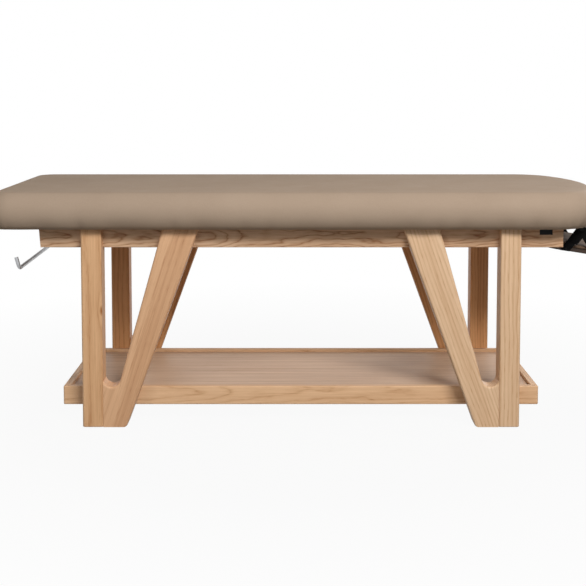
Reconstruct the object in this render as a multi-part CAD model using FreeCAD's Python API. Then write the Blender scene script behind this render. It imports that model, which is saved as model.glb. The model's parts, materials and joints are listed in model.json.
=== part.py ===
"""Wooden treatment table: padded top, four V-legs, tray shelf, roll holder and hung arm rest.

Millimetres, +Z up, floor at Z = 0. +X runs to the head end, -Y is the front.
The model is drawn about the middle of the table top, then moved along X so that
the origin is the bottom centre of the whole object's box.
"""
import FreeCAD
import Part
import math
import os

# Table top
TOP_LENGTH = 1975.0
TOP_WIDTH = 750.0
HEAD_CORNER_R = 165.0
HEAD_END_R = 680.0
FOOT_CORNER_R = 90.0
DECK_T = 18.0
PAD_T = 95.0
CROWN = 2.0
CROWN_SCALE = 0.6
TOP_INSET = 37.0
BOTTOM_INSET = 25.0
SIDE_POWER = 2.2
WIDEST_SHARE = 0.46
LOW_SECTIONS = (1.0, 0.66, 0.33)
HIGH_SECTIONS = (0.0, 0.33, 0.6, 0.82, 1.0)
COVER_T = 2.0
COVER_LIP = 20.0
DECK_INSET = 32.0
SOFT_GAP = 0.3

# Legs: a square post and a tapered brace glued to its side
LEG_HEIGHT = 632.0
LEG_SETBACK_X = 302.5
LEG_SETBACK_Y = 55.0
POST_SIZE = 65.0
POST_OUTER_R = 8.0
POST_INNER_R = 5.0
POST_FOOT_R = 3.0
BRACE_RECESS = 1.0
BRACE_FOOT = 137.0
BRACE_INNER_FOOT = 76.0
BRACE_TOP_INNER = 255.0
BRACE_TOP_OUTER = 369.0
BRACE_EDGE_R = 7.0
BRACE_TOE_R = 14.0
CROTCH_Z = 130.0
CROTCH_END_DEG = 20.0

# Rails under the deck
RAIL_SETBACK_X = 167.5
RAIL_HEIGHT = 66.0
RAIL_T = 35.0
RAIL_EDGE_R = 3.0
RAIL_FOOT_SLANT = 5.0
CROSS_RAIL_T = 35.0
CROSS_RAIL_FROM_POST = 45.0

# Tray shelf
TRAY_OVERHANG = 72.5
TRAY_BOTTOM_Z = 56.0
TRAY_RIM_H = 59.0
TRAY_RIM_T = 22.0
TRAY_RIM_EDGE_R = 3.0
TRAY_CORNER_R = 6.0
TRAY_LIP_H = 10.0
TRAY_PANEL_T = 15.0
TRAY_GROOVE = 8.0
PANEL_PLAY = 0.5
GROOVE_PLAY = 0.1
BATTEN_W = 45.0
BATTEN_T = 20.0
BATTEN_FROM_CROSS_RAIL = 125.0

# Feet
GLIDE_R = 14.0
GLIDE_T = 2.0
GLIDE_STUB_R = 2.5
GLIDE_STUB_L = 12.0

# Fasteners and dowels
HOLE_PLAY = 0.1
BOLT_R = 4.0
BOLT_HEAD_FLATS = 13.0
BOLT_HEAD_T = 5.5
BOLT_SHARES = (0.3, 0.7)
WASHER_R = 8.0
WASHER_T = 1.6
INSERT_R = 6.0
INSERT_L = 18.0
DOWEL_R = 5.0
DOWEL_HALF = 22.0
RAIL_DOWEL_Z_STEP = 30.0
TRAY_DOWEL_R = 4.0
TRAY_DOWEL_HALF = 14.0
TRAY_DOWEL_Z_STEP = 16.0
SCREW_R = 2.0
SCREW_HEAD_R = 4.0
SCREW_HEAD_T = 2.4
SCREW_BITE = 14.0
DECK_SCREW_R = 2.5
DECK_SCREW_HEAD_R = 5.0
DECK_SCREW_HEAD_T = 3.0
DECK_SCREW_SHARE = 2 / 3
COUNTERBORE_R = 6.0
COUNTERBORE_L = 26.0

# Blank plate on the front rail
PLATE_W = 40.0
PLATE_H = 16.0
PLATE_T = 1.2
PLATE_FROM_RAIL_END = 54.0
PLATE_BELOW_DECK = 18.0

# Paper roll holder at the foot end
ROD_R = 6.0
ROLL_PIVOT_SETBACK = 115.0
ROLL_TIP_SETBACK = 75.0
ROLL_DROP = 128.0
ROLL_SKEW = 10.0
ROLL_DROOP = 2.0
ROLL_BEND_R = 22.0
ROLL_TIP_L = 36.0
ROLL_TIP_LEAN = 15.0
ROLL_TIP_BEND_R = 15.0
PIVOT_PLAY = 0.05
BUSH_WALL = 2.0
BUSH_L = 24.0
BUSH_FLANGE_T = 3.0
BUSH_FLANGE_R = 10.0
SOCKET_WALL = 3.0
SOCKET_L = 40.0
BRACKET_T = 4.0
BRACKET_L = 68.0
BRACKET_W = 40.0
BRACKET_FROM_LIP = 39.5
COLLAR_R = 9.6
COLLAR_T = 8.0
ROD_TOP_GAP = 3.0

# Arm rest hung under the head end
ARM_LENGTH = 400.0
ARM_WIDTH = 224.0
ARM_BOARD_T = 12.0
ARM_CORNER_R = 40.0
ARM_EDGE_R = 3.0
ARM_PAD_T = 10.0
ARM_PAD_SETBACK = 1.0
ARM_PAD_INSET = 7.0
ARM_PAD_CROWN = 2.0
ARM_PAD_WIDEST_SHARE = 0.4
ARM_PAD_TOP_R = 1.0
ARM_TILT = 9.0
ARM_DROP = 80.0
HANG_FROM_HEAD = 87.5
HANG_BELOW_DECK = 18.0
STRAP_W = 28.0
STRAP_T = 2.0
STRAP_SPREAD = 100.0
STRAP_APEX_R = 15.0
STRAP_END = 6.0
TAIL_START = 16.0
TAIL_END = 52.0
TAIL_OFFSET = -7.0
EYELET_WALL = 2.0
EYELET_FLANGE = 2.5
EYELET_FLANGE_T = 0.8
PIN_R = 4.0
PIN_HEAD_R = 7.0
PIN_HEAD_T = 2.5
PIN_SPARE = 3.0
HANGER_T = 3.0
HANGER_PAD_L = 42.0
HANGER_PAD_GAP = 33.0
LIP_GAP = 1.0
HANGER_L = 32.0
HANGER_TAB_GAP = 3.0

# How near an edge lies to a face or an axis to count as on it
NEAR = 1.0
FLAT = 0.01

# Places worked out from the sizes above
V = FreeCAD.Vector
X_AXIS = V(1, 0, 0)
Y_AXIS = V(0, 1, 0)
Z_AXIS = V(0, 0, 1)
HALF_L = TOP_LENGTH / 2
HALF_W = TOP_WIDTH / 2
COVER_BOTTOM_Z = LEG_HEIGHT - COVER_T
CREASE_Z = LEG_HEIGHT + DECK_T + PAD_T
WIDEST_Z = COVER_BOTTOM_Z + WIDEST_SHARE * (CREASE_Z - COVER_BOTTOM_Z)
LEG_X = HALF_L - LEG_SETBACK_X
LEG_Y = HALF_W - LEG_SETBACK_Y
LEG_INNER_Y = LEG_Y - POST_SIZE
RAIL_X = HALF_L - RAIL_SETBACK_X
RAIL_OUTER_Y = LEG_INNER_Y + RAIL_T
RAIL_BOTTOM_Z = LEG_HEIGHT - RAIL_HEIGHT
RAIL_MID_Z = LEG_HEIGHT - RAIL_HEIGHT / 2
POST_MID = POST_SIZE / 2
BRACE_OUTER_LEAN = (BRACE_TOP_OUTER - BRACE_FOOT) / LEG_HEIGHT
BRACE_INNER_LEAN = (BRACE_TOP_INNER - BRACE_INNER_FOOT) / LEG_HEIGHT
CROSS_RAIL_X = LEG_X - POST_SIZE - CROSS_RAIL_FROM_POST
DECK_SCREW_STEP_Y = LEG_INNER_Y * DECK_SCREW_SHARE
BATTEN_X = CROSS_RAIL_X - BATTEN_FROM_CROSS_RAIL
TRAY_X = LEG_X + TRAY_OVERHANG
TRAY_TOP_Z = TRAY_BOTTOM_Z + TRAY_RIM_H
PANEL_TOP_Z = TRAY_TOP_Z - TRAY_LIP_H
PANEL_BOTTOM_Z = PANEL_TOP_Z - TRAY_PANEL_T
TRAY_INNER_X = TRAY_X - TRAY_RIM_T
TRAY_INNER_Y = LEG_INNER_Y - TRAY_RIM_T
TRAY_BOLT_Z = (TRAY_BOTTOM_Z + PANEL_BOTTOM_Z) / 2
SOCKET_BORE_R = ROD_R + PIVOT_PLAY + BUSH_WALL + HOLE_PLAY
SOCKET_SEAT_R = BUSH_FLANGE_R + HOLE_PLAY
SOCKET_R = SOCKET_SEAT_R + SOCKET_WALL
ROLL_X = -HALF_L + BOTTOM_INSET + COVER_LIP + BRACKET_FROM_LIP + SOCKET_R
ROLL_PIVOT_Y = HALF_W - ROLL_PIVOT_SETBACK
ROLL_BAR_L = ROLL_PIVOT_Y + HALF_W - ROLL_TIP_SETBACK
HANG_X = HALF_L - HANG_FROM_HEAD
HANG_Z = LEG_HEIGHT - HANG_BELOW_DECK
HANGER_Y = ARM_LENGTH / 2 - HANGER_TAB_GAP
HANGER_PAD_X = HANG_X - HANGER_PAD_GAP
HANGER_TOP_Z = COVER_BOTTOM_Z - LIP_GAP
HANGER_SEAT_Z = HANGER_TOP_Z - HANGER_T
EYELET_R = PIN_R + PIVOT_PLAY + EYELET_WALL


def box(x0, x1, y0, y1, z0, z1):
    """A block between two corners."""
    return Part.makeBox(x1 - x0, y1 - y0, z1 - z0, V(x0, y0, z0))


def rod(start, axis, radius, length):
    """A straight round rod."""
    return Part.makeCylinder(radius, length, start, axis)


def cut_all(shape, tools):
    """The shape with every tool cut away."""
    return shape.cut(Part.makeCompound(tools)) if tools else shape


def prism(points, depth, y0):
    """A polygon drawn in X and Z, pulled along Y."""
    corners = [V(x, y0, z) for x, z in points]
    face = Part.Face(Part.makePolygon(corners + corners[:1]))
    return face.extrude(V(0, depth, 0))


def mirrored(shape, side_x, side_y):
    """The head-end front piece as it stands on another side of the table."""
    result = shape.copy()
    if side_x < 0:
        result = result.mirror(V(0, 0, 0), X_AXIS)
    if side_y > 0:
        result = result.mirror(V(0, 0, 0), Y_AXIS)
    return result


def four_corners(shapes):
    """Copies of the head-end front pieces on all four corners."""
    return [mirrored(s, sx, sy) for sx in (1, -1) for sy in (-1, 1) for s in shapes]


def rounded(shape, radius, wanted):
    """The shape with each wanted edge rounded."""
    return shape.makeFillet(radius, [e for e in shape.Edges if wanted(e)])


def runs_along(edge, axis):
    """True for a straight edge parallel to an axis."""
    if not isinstance(edge.Curve, Part.Line):
        return False
    return edge.Curve.Direction.cross(axis).Length < FLAT


# Outline of the table top, seen from above
def outline(inset, z, scale=1.0):
    """Closed wire of the top: square foot end, bowed head end, drawn in by an inset."""
    side = HALF_W - inset
    foot = -HALF_L + inset
    foot_r = FOOT_CORNER_R - inset
    corner_r = HEAD_CORNER_R - inset
    corner_y = HALF_W - HEAD_CORNER_R
    end_x = HALF_L - HEAD_END_R
    reach = HEAD_END_R - HEAD_CORNER_R
    corner_x = end_x + math.sqrt(reach**2 - corner_y**2)
    turn = math.atan2(corner_y, corner_x - end_x)
    end_r = HEAD_END_R - inset
    diagonal = math.sqrt(0.5)

    def p(x, y):
        return V(x * scale, y * scale, z)

    def on_corner(angle, sign):
        return p(corner_x + corner_r * math.cos(angle), sign * (corner_y + corner_r * math.sin(angle)))

    def on_foot(dx, dy, sign):
        return p(foot + foot_r * (1 - dx), sign * (side - foot_r * (1 - dy)))

    half_turn = (math.pi / 2 + turn) / 2
    front = Part.LineSegment(on_foot(0, 1, -1), on_corner(math.pi / 2, -1))
    front_corner = Part.Arc(on_corner(math.pi / 2, -1), on_corner(half_turn, -1), on_corner(turn, -1))
    end = Part.Arc(on_corner(turn, -1), p(end_x + end_r, 0), on_corner(turn, 1))
    back_corner = Part.Arc(on_corner(turn, 1), on_corner(half_turn, 1), on_corner(math.pi / 2, 1))
    back = Part.LineSegment(on_corner(math.pi / 2, 1), on_foot(0, 1, 1))
    back_foot = Part.Arc(on_foot(0, 1, 1), on_foot(diagonal, diagonal, 1), on_foot(1, 0, 1))
    foot_end = Part.LineSegment(on_foot(1, 0, 1), on_foot(1, 0, -1))
    front_foot = Part.Arc(on_foot(1, 0, -1), on_foot(diagonal, diagonal, -1), on_foot(0, 1, -1))
    edges = [front, front_corner, end, back_corner, back, back_foot, foot_end, front_foot]
    return Part.Wire([e.toShape() for e in edges])


def side_inset(z):
    """How far the padded side is drawn in at a height."""
    if z < WIDEST_Z:
        return BOTTOM_INSET * ((WIDEST_Z - z) / (WIDEST_Z - COVER_BOTTOM_Z)) ** SIDE_POWER
    return TOP_INSET * ((z - WIDEST_Z) / (CREASE_Z - WIDEST_Z)) ** SIDE_POWER


def pad_form(bottom_z, skin):
    """The padded top's form under a skin thickness: swelling sides and a low crown."""
    top_z = CREASE_Z - skin
    low = [WIDEST_Z + (bottom_z - WIDEST_Z) * s for s in LOW_SECTIONS]
    high = [WIDEST_Z + (top_z - WIDEST_Z) * s for s in HIGH_SECTIONS]
    sections = [outline(side_inset(z) + skin, z) for z in low + high]
    sides = Part.makeLoft(sections, True, False)
    brim = side_inset(top_z) + skin
    crown = Part.makeLoft([outline(brim, top_z), outline(brim, top_z + CROWN, CROWN_SCALE)], True, True)
    return sides.fuse(crown)


def slab(inset, z0, z1):
    """A flat slab with the table top's outline."""
    return Part.Face(outline(inset, z0)).extrude(V(0, 0, z1 - z0))


# Padded top
def make_cover():
    hollow = pad_form(LEG_HEIGHT, COVER_T)
    opening = slab(BOTTOM_INSET + COVER_LIP, COVER_BOTTOM_Z - COVER_T, LEG_HEIGHT + COVER_T)
    return pad_form(COVER_BOTTOM_Z, 0.0).cut(hollow.fuse(opening))


def make_foam():
    pocket = slab(DECK_INSET - SOFT_GAP, LEG_HEIGHT - DECK_T, LEG_HEIGHT + DECK_T + SOFT_GAP)
    return pad_form(LEG_HEIGHT + SOFT_GAP, COVER_T + SOFT_GAP).cut(pocket)


def deck_screw_places():
    """Where screws rise through the cross rails into the deck."""
    ys = (-DECK_SCREW_STEP_Y, 0.0, DECK_SCREW_STEP_Y)
    return [(x, y) for x in (-CROSS_RAIL_X, 0.0, CROSS_RAIL_X) for y in ys]


def make_deck():
    holes = [rod(V(x, y, LEG_HEIGHT), Z_AXIS, DECK_SCREW_R + HOLE_PLAY, SCREW_BITE + HOLE_PLAY)
             for x, y in deck_screw_places()]
    small = hanger_screw_places() + bracket_screw_places()
    holes += [rod(V(x, y, LEG_HEIGHT), Z_AXIS, SCREW_R + HOLE_PLAY, SCREW_BITE + HOLE_PLAY)
              for x, y in small]
    return cut_all(slab(DECK_INSET, LEG_HEIGHT, LEG_HEIGHT + DECK_T), holes)


def make_deck_screws():
    screws = []
    seat_z = RAIL_BOTTOM_Z + COUNTERBORE_L
    for x, y in deck_screw_places():
        shank = rod(V(x, y, seat_z), Z_AXIS, DECK_SCREW_R, LEG_HEIGHT + SCREW_BITE - seat_z)
        head = rod(V(x, y, seat_z - DECK_SCREW_HEAD_T), Z_AXIS, DECK_SCREW_HEAD_R, DECK_SCREW_HEAD_T)
        screws.append(shank.fuse(head).removeSplitter())
    return screws


# Legs, drawn at the head end's front corner
def leg_x(inward):
    """X of a point measured inwards from the post's outer face."""
    return LEG_X - inward


def leg_bolt_places():
    """Points, inwards and up, where bolts pass the rail into a leg."""
    inner = BRACE_INNER_FOOT + BRACE_INNER_LEAN * RAIL_MID_Z
    outer = BRACE_FOOT + BRACE_OUTER_LEAN * RAIL_MID_Z
    on_post = [(POST_MID, RAIL_BOTTOM_Z + RAIL_HEIGHT * s) for s in BOLT_SHARES]
    on_brace = [(inner + (outer - inner) * s, RAIL_MID_Z) for s in BOLT_SHARES]
    return on_post + on_brace


def tray_bolt_places():
    """Points, inwards and up, where bolts pass the tray's rim into a leg."""
    return [(POST_MID, TRAY_BOLT_Z), ((POST_SIZE + BRACE_FOOT) / 2, TRAY_BOLT_Z)]


def glide_places():
    """Middles of the two glides under a leg, measured inwards."""
    return [POST_MID, (POST_SIZE + BRACE_FOOT) / 2]


def leg_dowel_heights():
    """Heights of the two dowels between post and brace."""
    return [GLIDE_T + 2 * DOWEL_HALF, CROTCH_Z - DOWEL_HALF]


def leg_holes():
    """Everything that is bored or cut out of a leg."""
    holes = [box(-HALF_L, HALF_L, -RAIL_OUTER_Y, 0, RAIL_BOTTOM_Z, LEG_HEIGHT + RAIL_HEIGHT)]
    bore = INSERT_R + HOLE_PLAY
    for inward, z in leg_bolt_places():
        holes.append(rod(V(leg_x(inward), -RAIL_OUTER_Y, z), -Y_AXIS, bore, INSERT_L))
    for inward, z in tray_bolt_places():
        holes.append(rod(V(leg_x(inward), -LEG_INNER_Y, z), -Y_AXIS, bore, INSERT_L))
    for inward in glide_places():
        stub = V(leg_x(inward), -LEG_Y + POST_MID, GLIDE_T)
        holes.append(rod(stub, Z_AXIS, GLIDE_STUB_R + HOLE_PLAY, GLIDE_STUB_L + HOLE_PLAY))
    for z in leg_dowel_heights():
        start = V(leg_x(POST_SIZE - DOWEL_HALF - HOLE_PLAY), -LEG_Y + POST_MID, z)
        holes.append(rod(start, -X_AXIS, DOWEL_R + HOLE_PLAY, 2 * (DOWEL_HALF + HOLE_PLAY)))
    return holes


def make_post():
    post = box(leg_x(POST_SIZE), LEG_X, -LEG_Y, -LEG_INNER_Y, GLIDE_T, LEG_HEIGHT)
    outer = LEG_X - NEAR
    post = rounded(post, POST_OUTER_R, lambda e: runs_along(e, Z_AXIS) and e.BoundBox.XMin > outer)
    inner = leg_x(POST_SIZE) + NEAR
    post = rounded(post, POST_INNER_R, lambda e: runs_along(e, Z_AXIS) and e.BoundBox.XMax < inner)
    post = rounded(post, POST_FOOT_R, lambda e: e.BoundBox.ZMax < GLIDE_T + FLAT)
    return cut_all(post, leg_holes())


def brace_face():
    """Outline of the brace: outer edge, inner edge, and the round crotch beside the post."""
    slant = math.hypot(1.0, BRACE_INNER_LEAN)
    inner = BRACE_INNER_FOOT + BRACE_INNER_LEAN * CROTCH_Z
    radius = (inner - POST_SIZE) / (1 + slant - BRACE_INNER_LEAN)
    mid_in = POST_SIZE + radius
    mid_z = CROTCH_Z + radius
    y = -LEG_Y + BRACE_RECESS

    def p(inward, z):
        return V(leg_x(inward), y, z)

    def on_crotch(angle):
        return p(mid_in + radius * math.cos(angle), mid_z + radius * math.sin(angle))

    first = -math.atan(BRACE_INNER_LEAN)
    last = -math.pi + math.radians(CROTCH_END_DEG)
    end = on_crotch(last)
    seam = p(POST_SIZE, end.z)
    corners = [seam, p(POST_SIZE, GLIDE_T), p(BRACE_FOOT + BRACE_OUTER_LEAN * GLIDE_T, GLIDE_T),
               p(BRACE_TOP_OUTER, LEG_HEIGHT), p(BRACE_TOP_INNER, LEG_HEIGHT), on_crotch(first)]
    edges = [Part.LineSegment(a, b) for a, b in zip(corners, corners[1:])]
    edges.append(Part.Arc(on_crotch(first), on_crotch((first + last) / 2), end))
    edges.append(Part.LineSegment(end, seam))
    return Part.Face(Part.Wire([e.toShape() for e in edges]))


def toe_cut():
    """What a round toe takes off the brace's outer corner at the floor."""
    lean = math.atan(BRACE_OUTER_LEAN)
    corner = BRACE_FOOT + BRACE_OUTER_LEAN * GLIDE_T
    mid_in = corner - BRACE_TOE_R * math.tan(math.pi / 4 - lean / 2)
    middle = V(leg_x(mid_in), -LEG_Y, GLIDE_T + BRACE_TOE_R)
    touch_in = mid_in + BRACE_TOE_R * math.cos(lean)
    touch_z = GLIDE_T + BRACE_TOE_R - BRACE_TOE_R * math.sin(lean)
    places = [(mid_in, GLIDE_T), (corner, GLIDE_T), (touch_in, touch_z), (mid_in, GLIDE_T + BRACE_TOE_R)]
    wedge = prism([(leg_x(inward), z) for inward, z in places], POST_SIZE, -LEG_Y)
    return wedge.cut(rod(middle, Y_AXIS, BRACE_TOE_R, POST_SIZE))


def make_brace():
    brace = brace_face().extrude(V(0, POST_SIZE - 2 * BRACE_RECESS, 0))

    def is_long_side(edge):
        return edge.BoundBox.YLength < FLAT and edge.BoundBox.ZLength > LEG_HEIGHT / 2

    return cut_all(rounded(brace, BRACE_EDGE_R, is_long_side), [toe_cut()] + leg_holes())


def make_inserts(places, face_y):
    bore = BOLT_R + HOLE_PLAY
    shapes = []
    for inward, z in places:
        start = V(leg_x(inward), -face_y, z)
        shapes.append(rod(start, -Y_AXIS, INSERT_R, INSERT_L).cut(rod(start, -Y_AXIS, bore, INSERT_L)))
    return four_corners(shapes)


def hexagon(centre, flats, length, axis_y):
    """A six-sided bolt head along Y."""
    radius = flats / math.sqrt(3)
    turns = [math.radians(60 * i) for i in range(7)]
    points = [centre + V(radius * math.cos(t), 0, radius * math.sin(t)) for t in turns]
    return Part.Face(Part.makePolygon(points)).extrude(V(0, axis_y * length, 0))


def make_bolts(places, face_y, through):
    """Bolts that pass a rail or rim from inside the table and end in the leg's inserts."""
    shapes = []
    for inward, z in places:
        seat = V(leg_x(inward), -face_y + WASHER_T, z)
        shank = rod(seat, -Y_AXIS, BOLT_R, WASHER_T + through + INSERT_L - HOLE_PLAY)
        head = hexagon(seat, BOLT_HEAD_FLATS, BOLT_HEAD_T, 1)
        shapes.append(shank.fuse(head).removeSplitter())
    return four_corners(shapes)


def make_washers(places, face_y):
    shapes = []
    for inward, z in places:
        start = V(leg_x(inward), -face_y, z)
        hole = rod(start, Y_AXIS, BOLT_R + HOLE_PLAY, WASHER_T)
        shapes.append(rod(start, Y_AXIS, WASHER_R, WASHER_T).cut(hole))
    return four_corners(shapes)


def make_leg_dowels():
    shapes = []
    for z in leg_dowel_heights():
        start = V(leg_x(POST_SIZE - DOWEL_HALF), -LEG_Y + POST_MID, z)
        shapes.append(rod(start, -X_AXIS, DOWEL_R, 2 * DOWEL_HALF))
    return four_corners(shapes)


def make_glides():
    shapes = []
    for inward in glide_places():
        foot = V(leg_x(inward), -LEG_Y + POST_MID, 0)
        disc = rod(foot, Z_AXIS, GLIDE_R, GLIDE_T)
        shapes.append(disc.fuse(rod(foot, Z_AXIS, GLIDE_STUB_R, GLIDE_T + GLIDE_STUB_L)).removeSplitter())
    return four_corners(shapes)


# Rails
def rail_dowel_places():
    """Ends of the cross rails, with the heights of their two dowels."""
    heights = (RAIL_MID_Z - RAIL_DOWEL_Z_STEP / 2, RAIL_MID_Z + RAIL_DOWEL_Z_STEP / 2)
    return [(x, z) for x in (-CROSS_RAIL_X, 0.0, CROSS_RAIL_X) for z in heights]


def rail_dowel(x, z, side, play):
    """A dowel, or with play its hole, across the joint of a cross rail and a long rail."""
    start = V(x, side * (LEG_INNER_Y + DOWEL_HALF + play), z)
    return rod(start, -side * Y_AXIS, DOWEL_R + play, 2 * (DOWEL_HALF + play))


def make_rail(side):
    foot = (-RAIL_X + RAIL_FOOT_SLANT, RAIL_BOTTOM_Z)
    corners = [foot, (RAIL_X, RAIL_BOTTOM_Z), (RAIL_X, LEG_HEIGHT), (-RAIL_X, LEG_HEIGHT)]
    rail = prism(corners, RAIL_T, -RAIL_OUTER_Y)
    low = RAIL_BOTTOM_Z + NEAR
    rail = rounded(rail, RAIL_EDGE_R, lambda e: runs_along(e, X_AXIS) and e.BoundBox.ZMax < low)
    holes = four_corners([rod(V(leg_x(i), -LEG_INNER_Y, z), -Y_AXIS, BOLT_R + HOLE_PLAY, RAIL_T)
                          for i, z in leg_bolt_places()])
    holes += [rail_dowel(x, z, -1, HOLE_PLAY) for x, z in rail_dowel_places()]
    return mirrored(cut_all(rail, holes), 1, side)


def make_cross_rail(x):
    half = CROSS_RAIL_T / 2
    rail = box(x - half, x + half, -LEG_INNER_Y, LEG_INNER_Y, RAIL_BOTTOM_Z, LEG_HEIGHT)
    holes = []
    for screw_x, y in deck_screw_places():
        if screw_x == x:
            holes.append(rod(V(x, y, RAIL_BOTTOM_Z), Z_AXIS, DECK_SCREW_R + HOLE_PLAY, RAIL_HEIGHT))
            holes.append(rod(V(x, y, RAIL_BOTTOM_Z), Z_AXIS, COUNTERBORE_R, COUNTERBORE_L))
    holes += [rail_dowel(dowel_x, z, side, HOLE_PLAY)
              for dowel_x, z in rail_dowel_places() if dowel_x == x for side in (-1, 1)]
    return cut_all(rail, holes)


def make_rail_dowels():
    return [rail_dowel(x, z, side, 0.0) for x, z in rail_dowel_places() for side in (-1, 1)]


def make_plate():
    x = RAIL_X - PLATE_FROM_RAIL_END
    z = LEG_HEIGHT - PLATE_BELOW_DECK
    return box(x - PLATE_W / 2, x + PLATE_W / 2, -RAIL_OUTER_Y - PLATE_T, -RAIL_OUTER_Y,
               z - PLATE_H / 2, z + PLATE_H / 2)


# Tray shelf
def tray_dowel(z, side_x, side_y, play):
    """A dowel, or with play its hole, at a corner of the tray."""
    x = side_x * (TRAY_X - TRAY_RIM_T / 2)
    start = V(x, side_y * (TRAY_INNER_Y + TRAY_DOWEL_HALF + play), z)
    return rod(start, -side_y * Y_AXIS, TRAY_DOWEL_R + play, 2 * (TRAY_DOWEL_HALF + play))


def tray_dowels(play):
    mid = (TRAY_BOTTOM_Z + PANEL_BOTTOM_Z) / 2
    heights = (mid - TRAY_DOWEL_Z_STEP / 2, mid + TRAY_DOWEL_Z_STEP / 2)
    return [tray_dowel(z, sx, sy, play) for z in heights for sx in (1, -1) for sy in (1, -1)]


def make_groove():
    """The groove in the rims that takes the panel's edges."""
    return box(-TRAY_INNER_X - TRAY_GROOVE, TRAY_INNER_X + TRAY_GROOVE,
               -TRAY_INNER_Y - TRAY_GROOVE, TRAY_INNER_Y + TRAY_GROOVE,
               PANEL_BOTTOM_Z - GROOVE_PLAY, PANEL_TOP_Z + GROOVE_PLAY)


def is_tray_edge(edge):
    """The long edges along a rim's top and bottom."""
    level = edge.BoundBox.ZLength < FLAT
    return level and max(edge.BoundBox.XLength, edge.BoundBox.YLength) > 2 * TRAY_RIM_T


def make_long_rim(side):
    rim = box(-TRAY_X, TRAY_X, -LEG_INNER_Y, -TRAY_INNER_Y, TRAY_BOTTOM_Z, TRAY_TOP_Z)
    face = -LEG_INNER_Y + NEAR
    rim = rounded(rim, TRAY_CORNER_R, lambda e: runs_along(e, Z_AXIS) and e.BoundBox.YMax < face)
    rim = rounded(rim, TRAY_RIM_EDGE_R, is_tray_edge)
    holes = [make_groove()] + tray_dowels(HOLE_PLAY)
    holes += four_corners([rod(V(leg_x(i), -TRAY_INNER_Y, z), -Y_AXIS, BOLT_R + HOLE_PLAY, TRAY_RIM_T)
                           for i, z in tray_bolt_places()])
    return mirrored(cut_all(rim, holes), 1, side)


def make_end_rim(side):
    rim = box(TRAY_INNER_X, TRAY_X, -TRAY_INNER_Y, TRAY_INNER_Y, TRAY_BOTTOM_Z, TRAY_TOP_Z)
    rim = rounded(rim, TRAY_RIM_EDGE_R, is_tray_edge)
    return mirrored(cut_all(rim, [make_groove()] + tray_dowels(HOLE_PLAY)), side, -1)


def batten_screw_places():
    ys = (-TRAY_INNER_Y / 2, TRAY_INNER_Y / 2)
    return [(x, y) for x in (-BATTEN_X, 0.0, BATTEN_X) for y in ys]


def batten_screw_holes():
    base = PANEL_BOTTOM_Z - BATTEN_T
    return [rod(V(x, y, base), Z_AXIS, SCREW_R + HOLE_PLAY, BATTEN_T + TRAY_PANEL_T / 2 + HOLE_PLAY)
            for x, y in batten_screw_places()]


def make_panel():
    reach = TRAY_GROOVE - PANEL_PLAY
    panel = box(-TRAY_INNER_X - reach, TRAY_INNER_X + reach, -TRAY_INNER_Y - reach, TRAY_INNER_Y + reach,
                PANEL_BOTTOM_Z, PANEL_TOP_Z)
    return cut_all(panel, batten_screw_holes())


def make_battens():
    battens = []
    for x in (-BATTEN_X, 0.0, BATTEN_X):
        batten = box(x - BATTEN_W / 2, x + BATTEN_W / 2, -TRAY_INNER_Y, TRAY_INNER_Y,
                     PANEL_BOTTOM_Z - BATTEN_T, PANEL_BOTTOM_Z)
        battens.append(cut_all(batten, batten_screw_holes()))
    return battens


def small_screw(x, y, seat_z, length):
    """A pan-head wood screw driven upwards."""
    shank = rod(V(x, y, seat_z), Z_AXIS, SCREW_R, length)
    head = rod(V(x, y, seat_z - SCREW_HEAD_T), Z_AXIS, SCREW_HEAD_R, SCREW_HEAD_T)
    return shank.fuse(head).removeSplitter()


def make_batten_screws():
    length = BATTEN_T + TRAY_PANEL_T / 2
    return [small_screw(x, y, PANEL_BOTTOM_Z - BATTEN_T, length) for x, y in batten_screw_places()]


# Roll holder
def bracket_screw_places():
    far = ROLL_X - SOCKET_R + BRACKET_L - 2 * SCREW_HEAD_R
    near = ROLL_X + SOCKET_R + 2 * SCREW_HEAD_R
    ys = (ROLL_PIVOT_Y - BRACKET_W / 4, ROLL_PIVOT_Y + BRACKET_W / 4)
    return [(x, y) for x in (near, far) for y in ys]


def make_roll_bracket():
    top = LEG_HEIGHT
    pivot = V(ROLL_X, ROLL_PIVOT_Y, top - SOCKET_L)
    plate = box(ROLL_X - SOCKET_R, ROLL_X - SOCKET_R + BRACKET_L,
                ROLL_PIVOT_Y - BRACKET_W / 2, ROLL_PIVOT_Y + BRACKET_W / 2, top - BRACKET_T, top)
    plate = rounded(plate, SOCKET_R - HOLE_PLAY, lambda e: runs_along(e, Z_AXIS) and e.BoundBox.XMax < ROLL_X)
    body = plate.fuse(rod(pivot, Z_AXIS, SOCKET_R, SOCKET_L))
    seat = pivot + V(0, 0, BUSH_L)
    holes = [rod(pivot, Z_AXIS, SOCKET_BORE_R, SOCKET_L), rod(seat, Z_AXIS, SOCKET_SEAT_R, SOCKET_L)]
    holes += [rod(V(x, y, top - BRACKET_T), Z_AXIS, SCREW_R + HOLE_PLAY, BRACKET_T)
              for x, y in bracket_screw_places()]
    return cut_all(body.removeSplitter(), holes)


def bush_seat():
    """Top of the socket's shoulder, where the bush's flange sits."""
    return V(ROLL_X, ROLL_PIVOT_Y, LEG_HEIGHT - SOCKET_L + BUSH_L)


def make_roll_bush():
    seat = bush_seat()
    barrel = rod(seat, -Z_AXIS, SOCKET_BORE_R - HOLE_PLAY, BUSH_L)
    flange = rod(seat, Z_AXIS, BUSH_FLANGE_R, BUSH_FLANGE_T)
    bore = rod(seat - V(0, 0, BUSH_L), Z_AXIS, ROD_R + PIVOT_PLAY, BUSH_L + BUSH_FLANGE_T)
    return barrel.fuse(flange).removeSplitter().cut(bore)


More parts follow.
